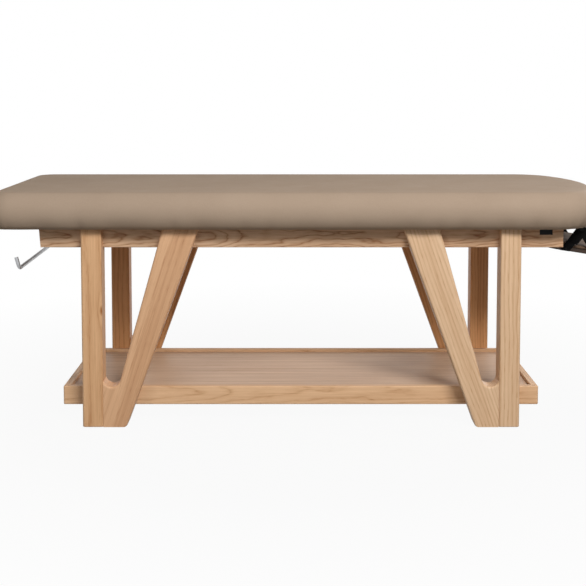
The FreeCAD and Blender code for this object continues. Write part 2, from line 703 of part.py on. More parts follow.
def make_roll_collar():
    start = bush_seat() + V(0, 0, BUSH_FLANGE_T + PIVOT_PLAY)
    return rod(start, Z_AXIS, COLLAR_R, COLLAR_T).cut(rod(start, Z_AXIS, ROD_R + PIVOT_PLAY, COLLAR_T))


def bent_rod(points, radii, radius):
    """A round rod along straight runs joined by tangent bends."""
    edges = []
    start = points[0]
    for before, corner, after, bend in zip(points, points[1:], points[2:], radii):
        back = (before - corner).normalize()
        on = (after - corner).normalize()
        half = back.getAngle(on) / 2
        tangent = bend / math.tan(half)
        middle = (back + on).normalize()
        first = corner + back * tangent
        last = corner + on * tangent
        top = corner + middle * (bend / math.sin(half) - bend)
        edges.append(Part.LineSegment(start, first).toShape())
        edges.append(Part.Arc(first, top, last).toShape())
        start = last
    edges.append(Part.LineSegment(start, points[-1]).toShape())
    path = Part.Wire(edges)
    ring = Part.Wire(Part.makeCircle(radius, points[0], points[1] - points[0]))
    shape = path.makePipeShell([ring], True, False)
    expected = math.pi * radius**2 * path.Length
    print(f"bent rod volume {shape.Volume:.0f}, section times length {expected:.0f}")
    return shape


def make_roll_bar():
    lean = math.radians(ROLL_TIP_LEAN)
    top = V(ROLL_X, ROLL_PIVOT_Y, LEG_HEIGHT - BRACKET_T - ROD_TOP_GAP)
    heel = V(ROLL_X, ROLL_PIVOT_Y, LEG_HEIGHT - ROLL_DROP)
    toe = heel + V(ROLL_SKEW, -ROLL_BAR_L, -ROLL_DROOP)
    tip = toe + V(-math.sin(lean), 0, math.cos(lean)) * ROLL_TIP_L
    return bent_rod([top, heel, toe, tip], [ROLL_BEND_R, ROLL_TIP_BEND_R], ROD_R)


def make_roll_screws():
    return [small_screw(x, y, LEG_HEIGHT - BRACKET_T, BRACKET_T + SCREW_BITE)
            for x, y in bracket_screw_places()]


# Arm rest: the board is drawn flat on its own middle, then tilted and hung
def hung(shape):
    """A piece of the arm rest, turned to the board's tilt and moved under the hanger."""
    lean = math.radians(ARM_TILT)
    result = shape.copy()
    result.rotate(V(0, 0, 0), Y_AXIS, ARM_TILT)
    result.translate(V(HANG_X - ARM_BOARD_T / 2 * math.sin(lean), 0, HANG_Z - ARM_DROP))
    return result


def strap_foot(side):
    """Where a strap's leg is screwed to the end of the board."""
    lean = math.radians(ARM_TILT)
    along = side * STRAP_SPREAD / 2
    up = ARM_BOARD_T / 2
    x = HANG_X - up * math.sin(lean) + along * math.cos(lean) + up * math.sin(lean)
    return V(x, 0, HANG_Z - ARM_DROP - along * math.sin(lean) + up * math.cos(lean))


def strap_screw_rods(radius, start_y, end_y):
    """Round stock along Y at each strap screw."""
    rods = []
    for side_y in (-1, 1):
        for side_x in (-1, 1):
            start = strap_foot(side_x) + V(0, side_y * start_y, 0)
            rods.append(rod(start, side_y * Y_AXIS, radius, end_y - start_y))
    return rods


def rounded_block(length_x, length_y, corner, z0, z1):
    block = box(-length_x / 2, length_x / 2, -length_y / 2, length_y / 2, z0, z1)
    return rounded(block, corner, lambda e: runs_along(e, Z_AXIS))


def make_arm_board():
    board = rounded_block(ARM_WIDTH, ARM_LENGTH, ARM_CORNER_R, 0, ARM_BOARD_T)
    board = rounded(board, ARM_EDGE_R, lambda e: e.BoundBox.ZMax < ARM_EDGE_R / 2)
    screw_l = ARM_LENGTH / 2 - SCREW_BITE - HOLE_PLAY
    return cut_all(hung(board), strap_screw_rods(SCREW_R + HOLE_PLAY, screw_l, ARM_LENGTH / 2))


def arm_pad_section(inset, z):
    """A rounded rectangle of the arm pad, drawn in by an inset."""
    hx = ARM_WIDTH / 2 - inset
    hy = ARM_LENGTH / 2 - inset
    r = ARM_CORNER_R - inset
    diagonal = r * (1 - math.sqrt(0.5))
    edges = []
    corners = [(1, -1), (1, 1), (-1, 1), (-1, -1)]
    for (sx, sy), (nx, ny) in zip(corners, corners[1:] + corners[:1]):
        first = V(sx * (hx - r), sy * hy, z) if sx == -sy else V(sx * hx, sy * (hy - r), z)
        last = V(sx * hx, sy * (hy - r), z) if sx == -sy else V(sx * (hx - r), sy * hy, z)
        after = V(nx * hx, ny * (hy - r), z) if sx == -sy else V(nx * (hx - r), ny * hy, z)
        edges.append(Part.Arc(first, V(sx * (hx - diagonal), sy * (hy - diagonal), z), last).toShape())
        edges.append(Part.LineSegment(last, after).toShape())
    return Part.Wire(edges)


def make_arm_pad():
    low = ARM_BOARD_T + SOFT_GAP
    middle = ARM_BOARD_T + ARM_PAD_T * ARM_PAD_WIDEST_SHARE
    brim = ARM_BOARD_T + ARM_PAD_T - ARM_PAD_CROWN
    top = ARM_BOARD_T + ARM_PAD_T
    places = [(2 * ARM_PAD_SETBACK, low), (ARM_PAD_SETBACK, middle), (ARM_PAD_INSET, brim)]
    sides = Part.makeLoft([arm_pad_section(inset, z) for inset, z in places], True, False)
    places = [(ARM_PAD_INSET, brim), (ARM_CORNER_R - ARM_PAD_TOP_R, top)]
    crown = Part.makeLoft([arm_pad_section(inset, z) for inset, z in places], True, True)
    return hung(sides.fuse(crown))


def leg_strip(foot, start, end, offset, y0, thick):
    """A flat strip of webbing along the line from the hanger to a foot of the strap."""
    along = (V(foot.x, 0, foot.z) - V(HANG_X, 0, HANG_Z)).normalize()
    across = V(along.z, 0, -along.x)
    origin = V(HANG_X, 0, HANG_Z) + across * offset
    half = STRAP_W / 2
    places = [(start, -half), (end, -half), (end, half), (start, half)]
    corners = [origin + along * a + across * c for a, c in places]
    return prism([(c.x, c.z) for c in corners], thick, y0)


def strap_length(side):
    return (strap_foot(side) - V(HANG_X, 0, HANG_Z)).Length


def make_strap(side):
    """Webbing sling at one end of the arm rest: two legs that spread from the hanger's pin."""
    y0 = side * ARM_LENGTH / 2 - (STRAP_T if side < 0 else 0)
    apex = rod(V(HANG_X, y0, HANG_Z), Y_AXIS, STRAP_APEX_R, STRAP_T)
    legs = [leg_strip(strap_foot(s), 0, strap_length(s) + STRAP_END, 0, y0, STRAP_T) for s in (-1, 1)]
    strap = apex.fuse(legs).removeSplitter()
    holes = [rod(V(HANG_X, y0, HANG_Z), Y_AXIS, EYELET_R + HOLE_PLAY, STRAP_T)]
    holes += strap_screw_rods(SCREW_R + HOLE_PLAY, 0, ARM_LENGTH)
    return cut_all(strap, holes)


def make_tails():
    """The doubled end of each strap, sewn on the outside of its foot-end leg."""
    tails = []
    for side in (-1, 1):
        y0 = side * (ARM_LENGTH / 2 + STRAP_T) - (STRAP_T if side < 0 else 0)
        tails.append(leg_strip(strap_foot(-1), TAIL_START, TAIL_END, TAIL_OFFSET, y0, STRAP_T))
    return tails


def make_eyelets():
    eyelets = []
    for side in (-1, 1):
        inner = ARM_LENGTH / 2 - EYELET_FLANGE_T
        length = STRAP_T + 2 * EYELET_FLANGE_T
        start = V(HANG_X, side * inner, HANG_Z)
        axis = side * Y_AXIS
        flange_r = EYELET_R + EYELET_FLANGE
        outer = start + axis * (length - EYELET_FLANGE_T)
        body = rod(start, axis, EYELET_R, length).fuse([rod(start, axis, flange_r, EYELET_FLANGE_T),
                                                        rod(outer, axis, flange_r, EYELET_FLANGE_T)])
        eyelets.append(body.removeSplitter().cut(rod(start, axis, PIN_R + PIVOT_PLAY, length)))
    return eyelets


def make_strap_screws():
    seat = ARM_LENGTH / 2 + STRAP_T
    shanks = strap_screw_rods(SCREW_R, ARM_LENGTH / 2 - SCREW_BITE, seat)
    heads = strap_screw_rods(SCREW_HEAD_R, seat, seat + SCREW_HEAD_T)
    return [a.fuse(b).removeSplitter() for a, b in zip(shanks, heads)]


def hanger_screw_places():
    y = HANGER_Y - HANGER_L / 2
    xs = (HANGER_PAD_X - HANGER_PAD_L / 4, HANGER_PAD_X - 3 * HANGER_PAD_L / 4)
    return [(x, side * y) for side in (-1, 1) for x in xs]


def make_hanger(side):
    """Angle bracket under the deck whose tab holds the pin that a strap turns on."""
    inner = HANGER_Y - HANGER_L
    back = HANGER_PAD_X - HANGER_PAD_L
    plate = box(back, HANG_X + STRAP_APEX_R, -HANGER_Y, -inner, HANGER_SEAT_Z, HANGER_TOP_Z)
    pad = box(back, HANGER_PAD_X, -HANGER_Y, -inner, HANGER_SEAT_Z, LEG_HEIGHT)
    tab = box(HANG_X - STRAP_APEX_R, HANG_X + STRAP_APEX_R, -HANGER_Y, -HANGER_Y + HANGER_T,
              HANG_Z, HANGER_TOP_Z)
    nose = rod(V(HANG_X, -HANGER_Y, HANG_Z), Y_AXIS, STRAP_APEX_R, HANGER_T)
    body = plate.fuse([pad, tab, nose]).removeSplitter()
    holes = [rod(V(HANG_X, -HANGER_Y, HANG_Z), Y_AXIS, PIN_R + HOLE_PLAY, HANGER_T)]
    holes += [rod(V(x, y, HANGER_SEAT_Z), Z_AXIS, SCREW_R + HOLE_PLAY, LEG_HEIGHT - HANGER_SEAT_Z)
              for x, y in hanger_screw_places()]
    return mirrored(cut_all(body, holes), 1, side)


def make_hanger_pins():
    """Headed pins, riveted in the hangers' tabs, that carry the eyelets."""
    pins = []
    stop = ARM_LENGTH / 2 + STRAP_T + EYELET_FLANGE_T + PIN_SPARE
    tab = HANGER_Y - HANGER_T
    for side in (-1, 1):
        axis = side * Y_AXIS
        shank = rod(V(HANG_X, side * (tab - PIN_HEAD_T), HANG_Z), axis, PIN_R, stop - tab + PIN_HEAD_T)
        rivet = rod(V(HANG_X, side * (tab - PIN_HEAD_T), HANG_Z), axis, PIN_HEAD_R, PIN_HEAD_T)
        head = rod(V(HANG_X, side * stop, HANG_Z), axis, PIN_HEAD_R, PIN_HEAD_T)
        pins.append(shank.fuse([rivet, head]).removeSplitter())
    return pins


def make_hanger_screws():
    return [small_screw(x, y, HANGER_SEAT_Z, LEG_HEIGHT - HANGER_SEAT_Z + SCREW_BITE)
            for x, y in hanger_screw_places()]


def make_all():
    """Every node of the table, each a list of solids."""
    nodes = {
        "cover": [make_cover()],
        "foam_core": [make_foam()],
        "deck_board": [make_deck()],
        "front_rail": [make_rail(-1)],
        "back_rail": [make_rail(1)],
        "foot_cross_rail": [make_cross_rail(-CROSS_RAIL_X)],
        "middle_cross_rail": [make_cross_rail(0.0)],
        "head_cross_rail": [make_cross_rail(CROSS_RAIL_X)],
        "rail_dowels": make_rail_dowels(),
        "deck_screws": make_deck_screws(),
        "label_plate": [make_plate()],
    }
    post = make_post()
    brace = make_brace()
    for end, sx in (("head", 1), ("foot", -1)):
        for face, sy in (("front", -1), ("back", 1)):
            nodes[f"{end}_{face}_post"] = [mirrored(post, sx, sy)]
            nodes[f"{end}_{face}_brace"] = [mirrored(brace, sx, sy)]
    nodes["leg_dowels"] = make_leg_dowels()
    nodes["foot_glides"] = make_glides()
    nodes["leg_inserts"] = make_inserts(leg_bolt_places(), RAIL_OUTER_Y)
    nodes["leg_bolts"] = make_bolts(leg_bolt_places(), LEG_INNER_Y, RAIL_T)
    nodes["leg_washers"] = make_washers(leg_bolt_places(), LEG_INNER_Y)
    nodes["tray_front_rim"] = [make_long_rim(-1)]
    nodes["tray_back_rim"] = [make_long_rim(1)]
    nodes["tray_head_rim"] = [make_end_rim(1)]
    nodes["tray_foot_rim"] = [make_end_rim(-1)]
    nodes["tray_panel"] = [make_panel()]
    nodes["tray_battens"] = make_battens()
    nodes["tray_dowels"] = tray_dowels(0.0)
    nodes["batten_screws"] = make_batten_screws()
    nodes["tray_inserts"] = make_inserts(tray_bolt_places(), LEG_INNER_Y)
    nodes["tray_bolts"] = make_bolts(tray_bolt_places(), TRAY_INNER_Y, TRAY_RIM_T)
    nodes["tray_washers"] = make_washers(tray_bolt_places(), TRAY_INNER_Y)
    nodes["roll_bracket"] = [make_roll_bracket()]
    nodes["roll_bush"] = [make_roll_bush()]
    nodes["roll_screws"] = make_roll_screws()
    nodes["roll_collar"] = [make_roll_collar()]
    nodes["roll_bar"] = [make_roll_bar()]
    nodes["arm_rest_board"] = [make_arm_board()]
    nodes["arm_rest_pad"] = [make_arm_pad()]
    nodes["front_strap"] = [make_strap(-1)]
    nodes["back_strap"] = [make_strap(1)]
    nodes["strap_tails"] = make_tails()
    nodes["strap_eyelets"] = make_eyelets()
    nodes["strap_screws"] = make_strap_screws()
    nodes["front_hanger"] = [make_hanger(-1)]
    nodes["back_hanger"] = [make_hanger(1)]
    nodes["hanger_pins"] = make_hanger_pins()
    nodes["hanger_screws"] = make_hanger_screws()
    return nodes


def main():
    os.makedirs("parts", exist_ok=True)
    nodes = make_all()
    boxes = [s.optimalBoundingBox(False, False) for solids in nodes.values() for s in solids]
    middle_x = (min(b.XMin for b in boxes) + max(b.XMax for b in boxes)) / 2
    print(f"table centre at X {-middle_x:.4f}")
    for name, solids in nodes.items():
        shape = solids[0] if len(solids) == 1 else Part.makeCompound(solids)
        shape.translate(V(-middle_x, 0, 0))
        shape.exportStep(f"parts/{name}.step")
        count = len(shape.Solids)
        print(f"{name}: {count} solids, {shape.Volume / 1000:.1f} cm3, valid {shape.isValid()}")


main()
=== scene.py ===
"""Treatment table: vinyl cushions, ash frame, tray shelf, steel roll bar and an arm rest on webbing."""

import json
import math

import bpy
from bpy.props import FloatProperty, FloatVectorProperty, PointerProperty
from mathutils import Euler, Matrix, Vector


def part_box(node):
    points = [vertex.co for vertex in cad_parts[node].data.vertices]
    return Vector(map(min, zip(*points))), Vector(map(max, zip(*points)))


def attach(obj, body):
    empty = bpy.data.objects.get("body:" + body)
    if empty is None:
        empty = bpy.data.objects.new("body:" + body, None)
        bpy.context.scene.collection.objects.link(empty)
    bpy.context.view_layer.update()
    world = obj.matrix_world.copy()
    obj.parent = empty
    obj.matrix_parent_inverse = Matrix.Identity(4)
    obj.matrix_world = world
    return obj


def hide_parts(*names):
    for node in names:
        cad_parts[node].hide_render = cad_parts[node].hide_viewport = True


bl_info = {
    "name": "Treatment table",
    "version": (1, 0, 0),
    "blender": (4, 5, 0),
    "location": "View3D > Sidebar > Table",
    "description": "Dresses a wooden treatment table: cushions, wood, webbing, steel and its stage",
    "category": "Object",
}

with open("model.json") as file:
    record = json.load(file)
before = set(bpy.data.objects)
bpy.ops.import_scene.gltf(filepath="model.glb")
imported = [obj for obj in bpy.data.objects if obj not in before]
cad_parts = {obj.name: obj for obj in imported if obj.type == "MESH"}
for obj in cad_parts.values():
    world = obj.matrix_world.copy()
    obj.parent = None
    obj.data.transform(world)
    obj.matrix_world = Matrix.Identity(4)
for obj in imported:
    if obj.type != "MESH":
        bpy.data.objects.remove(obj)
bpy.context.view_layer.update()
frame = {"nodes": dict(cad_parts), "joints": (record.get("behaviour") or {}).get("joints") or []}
MM = 0.001
NEAR = 0.01 * MM
WHITE = (1.0, 1.0, 1.0)


def srgb(*levels):
    """A colour as picked on a screen, 0 to 255, in linear light."""
    shares = [level / 255 for level in levels]
    return tuple(s / 12.92 if s <= 0.04045 else ((s + 0.055) / 1.055) ** 2.4 for s in shares)


def colour(name, description, value):
    """A setting for a colour."""
    return FloatVectorProperty(name=name, description=description, default=value, subtype="COLOR", size=3,
                               min=0.0, max=1.0)


def length(name, description, millimetres):
    """A setting for a length."""
    return FloatProperty(name=name, description=description, default=millimetres * MM, unit="LENGTH",
                         precision=4)


def light_power(name, description, watts):
    """A setting for a light's power."""
    return FloatProperty(name=name, description=description, default=watts, unit="POWER")


class CushionSettings(bpy.types.PropertyGroup):
    """Sizes and colour of the vinyl cushion on the table."""
    foot_corner: length("Foot corner", "Radius of the two corners at the foot end", 90)
    head_corner: length("Head corner", "Radius of the two corners at the head end", 165)
    head_bow: length("Head bow", "Radius of the bowed head end", 680)
    step: length("Step", "Distance between points along the outline", 10)
    top_inset: length("Top inset", "How far the side is drawn in at the upper edge", 37)
    bottom_inset: length("Bottom inset", "How far the side is drawn in at the lower edge", 25)
    crown: length("Crown", "Rise of the middle above the upper edge", 2)
    lip: length("Lip", "Width of the vinyl turned under the deck", 20)
    skin: length("Skin", "Thickness of the vinyl", 2)
    start_gap: length("Start gap", "How much smaller the form is before it swells", 1.2)
    side_swell: length("Side swell", "Furthest that a point of the sides may swell", 4)
    top_swell: length("Top swell", "Furthest that a point of the top may swell", 1.2)
    staple_pull: length("Staple pull", "How far a staple draws in the lower side", 4)
    staple_gap: length("Staple gap", "Distance between the staples that pull hardest", 118)
    pleat: length("Pleat", "Depth of the gathered pleats at the corners", 2.2)
    vinyl: colour("Vinyl", "Main colour of the vinyl", srgb(172, 152, 133))
    vinyl_deep: colour("Vinyl grain", "Colour in the grain's hollows", srgb(154, 134, 115))


class ArmRestSettings(bpy.types.PropertyGroup):
    """Sizes and colours of the hung arm rest."""
    voxel: length("Voxel", "Grid that the pad is remeshed with", 4)
    swell: length("Swell", "Furthest that a point of the pad may swell", 3)
    start_scale: FloatProperty(name="Start scale", description="Size of the pad before it swells",
                               default=0.985)
    strap_width: length("Strap width", "Width of the webbing", 28)
    ply: length("Ply", "Thickness of one layer of webbing", 1)
    fold: length("Fold", "Length of the folded end of each strap", 48)
    foot_end: length("Foot end", "How far a strap runs below its screw, to the underside of the board", 6)
    tail_start: length("Tail start", "Where the sewn tail starts, from the eyelet", 16)
    tail_end: length("Tail end", "Where the sewn tail ends, from the eyelet", 52)
    tail_offset: length("Tail offset", "How far the sewn tail lies out of line", 7)
    stitch: length("Stitch", "Length of one stitch", 2.6)
    thread: length("Thread", "Thickness of the sewing thread", 0.7)
    # Painted shade: the pad is the cushion's vinyl, darkened for the shade under the cushion's overhang
    vinyl: colour("Vinyl", "Main colour of the pad", srgb(106, 86, 70))
    vinyl_deep: colour("Vinyl grain", "Colour in the grain's hollows", srgb(90, 72, 58))
    webbing: colour("Webbing", "Colour of the webbing", srgb(14, 13, 13))
    thread_tint: colour("Thread tint", "Colour of the sewing thread", srgb(26, 25, 24))


class WoodSettings(bpy.types.PropertyGroup):
    """Colours and grain of the wooden pieces."""
    pale: colour("Pale ash", "Light wood of the head-end legs", srgb(226, 193, 158))
    pale_line: colour("Pale ash line", "Growth lines of the head-end legs", srgb(184, 143, 104))
    honey: colour("Honey ash", "Warmer wood of the foot-end legs", srgb(224, 181, 138))
    honey_line: colour("Honey ash line", "Growth lines of the foot-end legs", srgb(180, 130, 86))
    rose: colour("Rose ash", "Pinker wood of the foot-end braces", srgb(212, 168, 129))
    rose_line: colour("Rose ash line", "Growth lines of the foot-end braces", srgb(170, 120, 82))
    # Painted bounce light: the legs and braces at the back get a warmer, brighter ash, partly their own tone
    # and partly the warm light that bounces into the shade under the table
    bounce_painted_ash: colour("Deep ash", "Warm wood of the legs at the back", srgb(228, 174, 122))
    bounce_painted_ash_line: colour("Deep ash line", "Growth lines of the legs at the back", srgb(176, 116, 68))
    rail: colour("Rail", "Light wood of the rails", srgb(220, 184, 150))
    rail_line: colour("Rail line", "Growth lines of the rails", srgb(158, 115, 80))
    rim: colour("Rim", "Light wood of the shelf's rims", srgb(230, 190, 150))
    rim_line: colour("Rim line", "Growth lines of the shelf's rims", srgb(188, 143, 102))
    shelf: colour("Shelf", "Light veneer of the shelf", srgb(219, 188, 160))
    shelf_line: colour("Shelf line", "Growth lines of the shelf's veneer", srgb(180, 143, 114))
    deck: colour("Deck", "Light veneer of the deck board", srgb(206, 180, 146))
    deck_line: colour("Deck line", "Growth lines of the deck board", srgb(160, 124, 90))
    stain: colour("Stain", "Dark stain of the arm rest's board", srgb(62, 46, 35))
    stain_line: colour("Stain line", "Growth lines of the stained board", srgb(40, 29, 22))
    lean: FloatProperty(name="Lean", description="Lean of the leg braces", default=math.radians(18),
                        subtype="ANGLE")


class MetalSettings(bpy.types.PropertyGroup):
    """Colours of the steel and the small fittings."""
    steel: colour("Steel", "Satin steel of the roll bar", srgb(176, 177, 179))
    zinc: colour("Zinc", "Plated bolts and screws", srgb(186, 186, 180))
    black: colour("Black", "Black paint of the hangers and the plate", srgb(9, 9, 9))
    glide: colour("Glide", "Nylon under the feet", srgb(52, 46, 42))
    bush: colour("Bush", "Nylon of the bush", srgb(226, 224, 216))


class StageSettings(bpy.types.PropertyGroup):
    """Camera, lights and floor."""
    camera_place: FloatVectorProperty(name="Camera", description="Place of the camera", size=3, unit="LENGTH",
                                      default=(-0.0372, -3.7324, 1.0861))
    camera_tilt: FloatProperty(name="Tilt", description="How far the camera looks down", subtype="ANGLE",
                               default=math.radians(4.0))
    lens: FloatProperty(name="Lens", description="Focal length in millimetres", default=68.146, unit="CAMERA")
    shift: FloatProperty(name="Shift", description="Shift of the lens, as a share of the picture's width",
                         default=-0.2297)
    key_power: light_power("Key", "Power of the main soft light", 244.0)
    fill_power: light_power("Fill", "Power of the fill light", 32.0)
    back_power: light_power("Back", "Power of the light behind the table", 70.0)
    top_power: light_power("Top", "Power of the light overhead", 11.0)
    ambient: FloatProperty(name="Ambient", description="Strength of the even light from all round",
                           default=0.08)
    floor: colour("Floor", "Colour of the floor", srgb(132, 130, 127))
    floor_shade: FloatProperty(name="Floor shade", description="Share of the object's shadow that shows",
                               default=0.06, min=0.0, max=1.0, subtype="FACTOR")


# Small helpers for meshes
def deselect():
    bpy.ops.object.select_all(action="DESELECT")


def activate(obj):
    deselect()
    obj.select_set(True)
    bpy.context.view_layer.objects.active = obj


def set_mode(mode):
    bpy.ops.object.mode_set(mode=mode)


def new_object(name, data):
    """An object in the scene, at the origin."""
    obj = bpy.data.objects.new(name, data)
    bpy.context.scene.collection.objects.link(obj)
    return obj


def new_piece(name, points, faces):
    """A mesh object at the origin, with its place in its mesh."""
    mesh = bpy.data.meshes.new(name)
    mesh.from_pydata(points, [], faces)
    mesh.update()
    return new_object(name, mesh)


def smooth(obj, angle=None):
    """Shades a piece smooth, across every edge or only below an angle."""
    activate(obj)
    if angle is None:
        bpy.ops.object.shade_smooth()
    else:
        bpy.ops.object.shade_smooth_by_angle(angle=angle)


def apply(obj, modifier):
    activate(obj)
    bpy.ops.object.modifier_apply(modifier=modifier.name)


def outward(obj):
    """Merges doubles and turns every face outwards."""
    activate(obj)
    set_mode("EDIT")
    bpy.ops.mesh.select_all(action="SELECT")
    bpy.ops.mesh.remove_doubles(threshold=NEAR)
    bpy.ops.mesh.normals_make_consistent(inside=False)
    set_mode("OBJECT")


def ring_faces(rings, count):
    """Quads between closed rings of points."""
    faces = []
    for ring in range(rings - 1):
        for i in range(count):
            after = (i + 1) % count
            faces.append((ring * count + i, ring * count + after,
                          (ring + 1) * count + after, (ring + 1) * count + i))
    return faces


def paint(obj, material):
    """Gives a piece its only material."""
    obj.data.materials.clear()
    obj.data.materials.append(material)


def dress(obj, material, body, slot, *nodes):
    """Gives a piece its material and its body, and hides the nodes that it stands for. The slot is not used.
    """
    paint(obj, material)
    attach(obj, body)
    if nodes:
        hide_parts(*nodes)


# Small helpers for materials
NOISE_LOW = 0.3
NOISE_HIGH = 0.7

# Places of the colour sockets in a mix node
MIX_FIRST = 6
MIX_SECOND = 7
MIX_RESULT = 2


def node(tree, kind, settings=None, inputs=None):
    """A shader node with its settings, and its inputs as values or links."""
    made = tree.nodes.new(kind)
    for name, value in (settings or {}).items():
        setattr(made, name, value)
    for name, value in (inputs or {}).items():
        socket = made.inputs[name]
        if isinstance(value, bpy.types.NodeSocket):
            tree.links.new(value, socket)
        else:
            socket.default_value = value
    return made


def maths(tree, operation, first, second=0.0, clamp=False):
    settings = {"operation": operation, "use_clamp": clamp}
    return node(tree, "ShaderNodeMath", settings, {0: first, 1: second}).outputs[0]


def plus(tree, total, value, share):
    """A total with a share of a value added."""
    return maths(tree, "ADD", total, maths(tree, "MULTIPLY", value, share))


def vector_maths(tree, operation, first, second=(0.0, 0.0, 0.0)):
    return node(tree, "ShaderNodeVectorMath", {"operation": operation}, {0: first, 1: second}).outputs


def stretched(tree, vector, scale):
    return vector_maths(tree, "MULTIPLY", vector, scale)[0]


def vector_length(tree, vector):
    return vector_maths(tree, "LENGTH", vector)["Value"]


def noise(tree, vector, scale, detail=2.0, roughness=0.5):
    inputs = {"Vector": vector, "Scale": scale, "Detail": detail, "Roughness": roughness}
    return node(tree, "ShaderNodeTexNoise", None, inputs).outputs[0]


def spread(tree, value, low, high, to_low=0.0, to_high=1.0):
    """A value moved from one range to another."""
    inputs = {"Value": value, "From Min": low, "From Max": high, "To Min": to_low, "To Max": to_high}
    return node(tree, "ShaderNodeMapRange", {"clamp": True}, inputs).outputs[0]


def evened(tree, value, to_low=0.0, to_high=1.0):
    """Noise, moved from the range that most of it lies in to another."""
    return spread(tree, value, NOISE_LOW, NOISE_HIGH, to_low, to_high)


def opaque(tint):
    """A plain colour with full alpha. A link stays as it is."""
    return tint if isinstance(tint, bpy.types.NodeSocket) else (*tint, 1.0)


def mixed(tree, factor, first, second):
    """A mix of two colours, each a link or a plain colour."""
    inputs = {0: factor, MIX_FIRST: opaque(first), MIX_SECOND: opaque(second)}
    return node(tree, "ShaderNodeMix", {"data_type": "RGBA"}, inputs).outputs[MIX_RESULT]


def new_material(name):
    """A material with its Principled shader and the object's own coordinates."""
    material = bpy.data.materials.new(name)
    material.use_nodes = True
    tree = material.node_tree
    shader = tree.nodes["Principled BSDF"]
    place = tree.nodes.new("ShaderNodeTexCoord").outputs["Object"]
    return material, tree, shader, place


def coat(tree, shader, tint, roughness, height, strength, depth):
    """Links a shader's colour and roughness, and bumps its face."""
    made = node(tree, "ShaderNodeBump", None, {"Height": height, "Strength": strength, "Distance": depth})
    tree.links.new(tint, shader.inputs["Base Color"])
    tree.links.new(roughness, shader.inputs["Roughness"])
    tree.links.new(made.outputs["Normal"], shader.inputs["Normal"])


def new_group(name, inputs, outputs):
    """An empty node group with its named sockets."""
    tree = bpy.data.node_groups.new(name, "ShaderNodeTree")
    for label, kind, value in inputs:
        socket = tree.interface.new_socket(label, in_out="INPUT", socket_type=f"NodeSocket{kind}")
        if value is not None:
            socket.default_value = value
    for label, kind in outputs:
        tree.interface.new_socket(label, in_out="OUTPUT", socket_type=f"NodeSocket{kind}")
    return tree, tree.nodes.new("NodeGroupInput").outputs, tree.nodes.new("NodeGroupOutput")


def smudge_group():
    """Handling marks: a slow change of gloss over a surface."""
    name = "handling_marks"
    if name in bpy.data.node_groups:
        return bpy.data.node_groups[name]
    inputs = [("Vector", "Vector", None), ("Scale", "Float", 8.0), ("Low", "Float", 0.35),
              ("High", "Float", 0.5)]
    tree, given, result = new_group(name, inputs, [("Value", "Float")])
    cloud = noise(tree, given["Vector"], given["Scale"], 4.0, 0.6)
    value = evened(tree, cloud, given["Low"], given["High"])
    tree.links.new(value, result.inputs["Value"])
    return tree


def smudged(tree, place, scale, low, high):
    made = node(tree, "ShaderNodeGroup", {"node_tree": smudge_group()},
                {"Vector": place, "Scale": scale, "Low": low, "High": high})
    return made.outputs["Value"]


# Stretch of each texture in the wood: twice across the grain, then along it
KNOT_STRETCH = (1.0, 1.0, 0.45)
WANDER_STRETCH = (5.0, 5.0, 1.3)
RIPPLE_STRETCH = (28.0, 28.0, 8.0)
BAND_STRETCH = (22.0, 22.0, 0.8)
STREAK_STRETCH = (95.0, 95.0, 1.8)
FIBRE_STRETCH = (300.0, 300.0, 6.0)
PORE_STRETCH = (700.0, 700.0, 26.0)
ACROSS_GRAIN = (1.0, 1.0, 0.0)

# How dark a growth ring is, at its two ends and at shares of its width between them
RING_END_TONE = 0.6
RING_TONES = ((0.14, 0.12), (0.5, 0.0), (0.82, 0.4), (0.94, 1.0))

# How much darker the other marks make the wood, and how much paler sapwood is
BAND_TONE = 0.26
FIBRE_TONE = 0.34
PORE_TONE = 0.5
KNOT_TONE = 1.2
SAPWOOD_TONE = 0.35

# Places that no board reaches, for boards without sapwood or without a knot
NO_SAPWOOD = -9.0
NO_KNOT = (0.0, 0.0, 9.0)


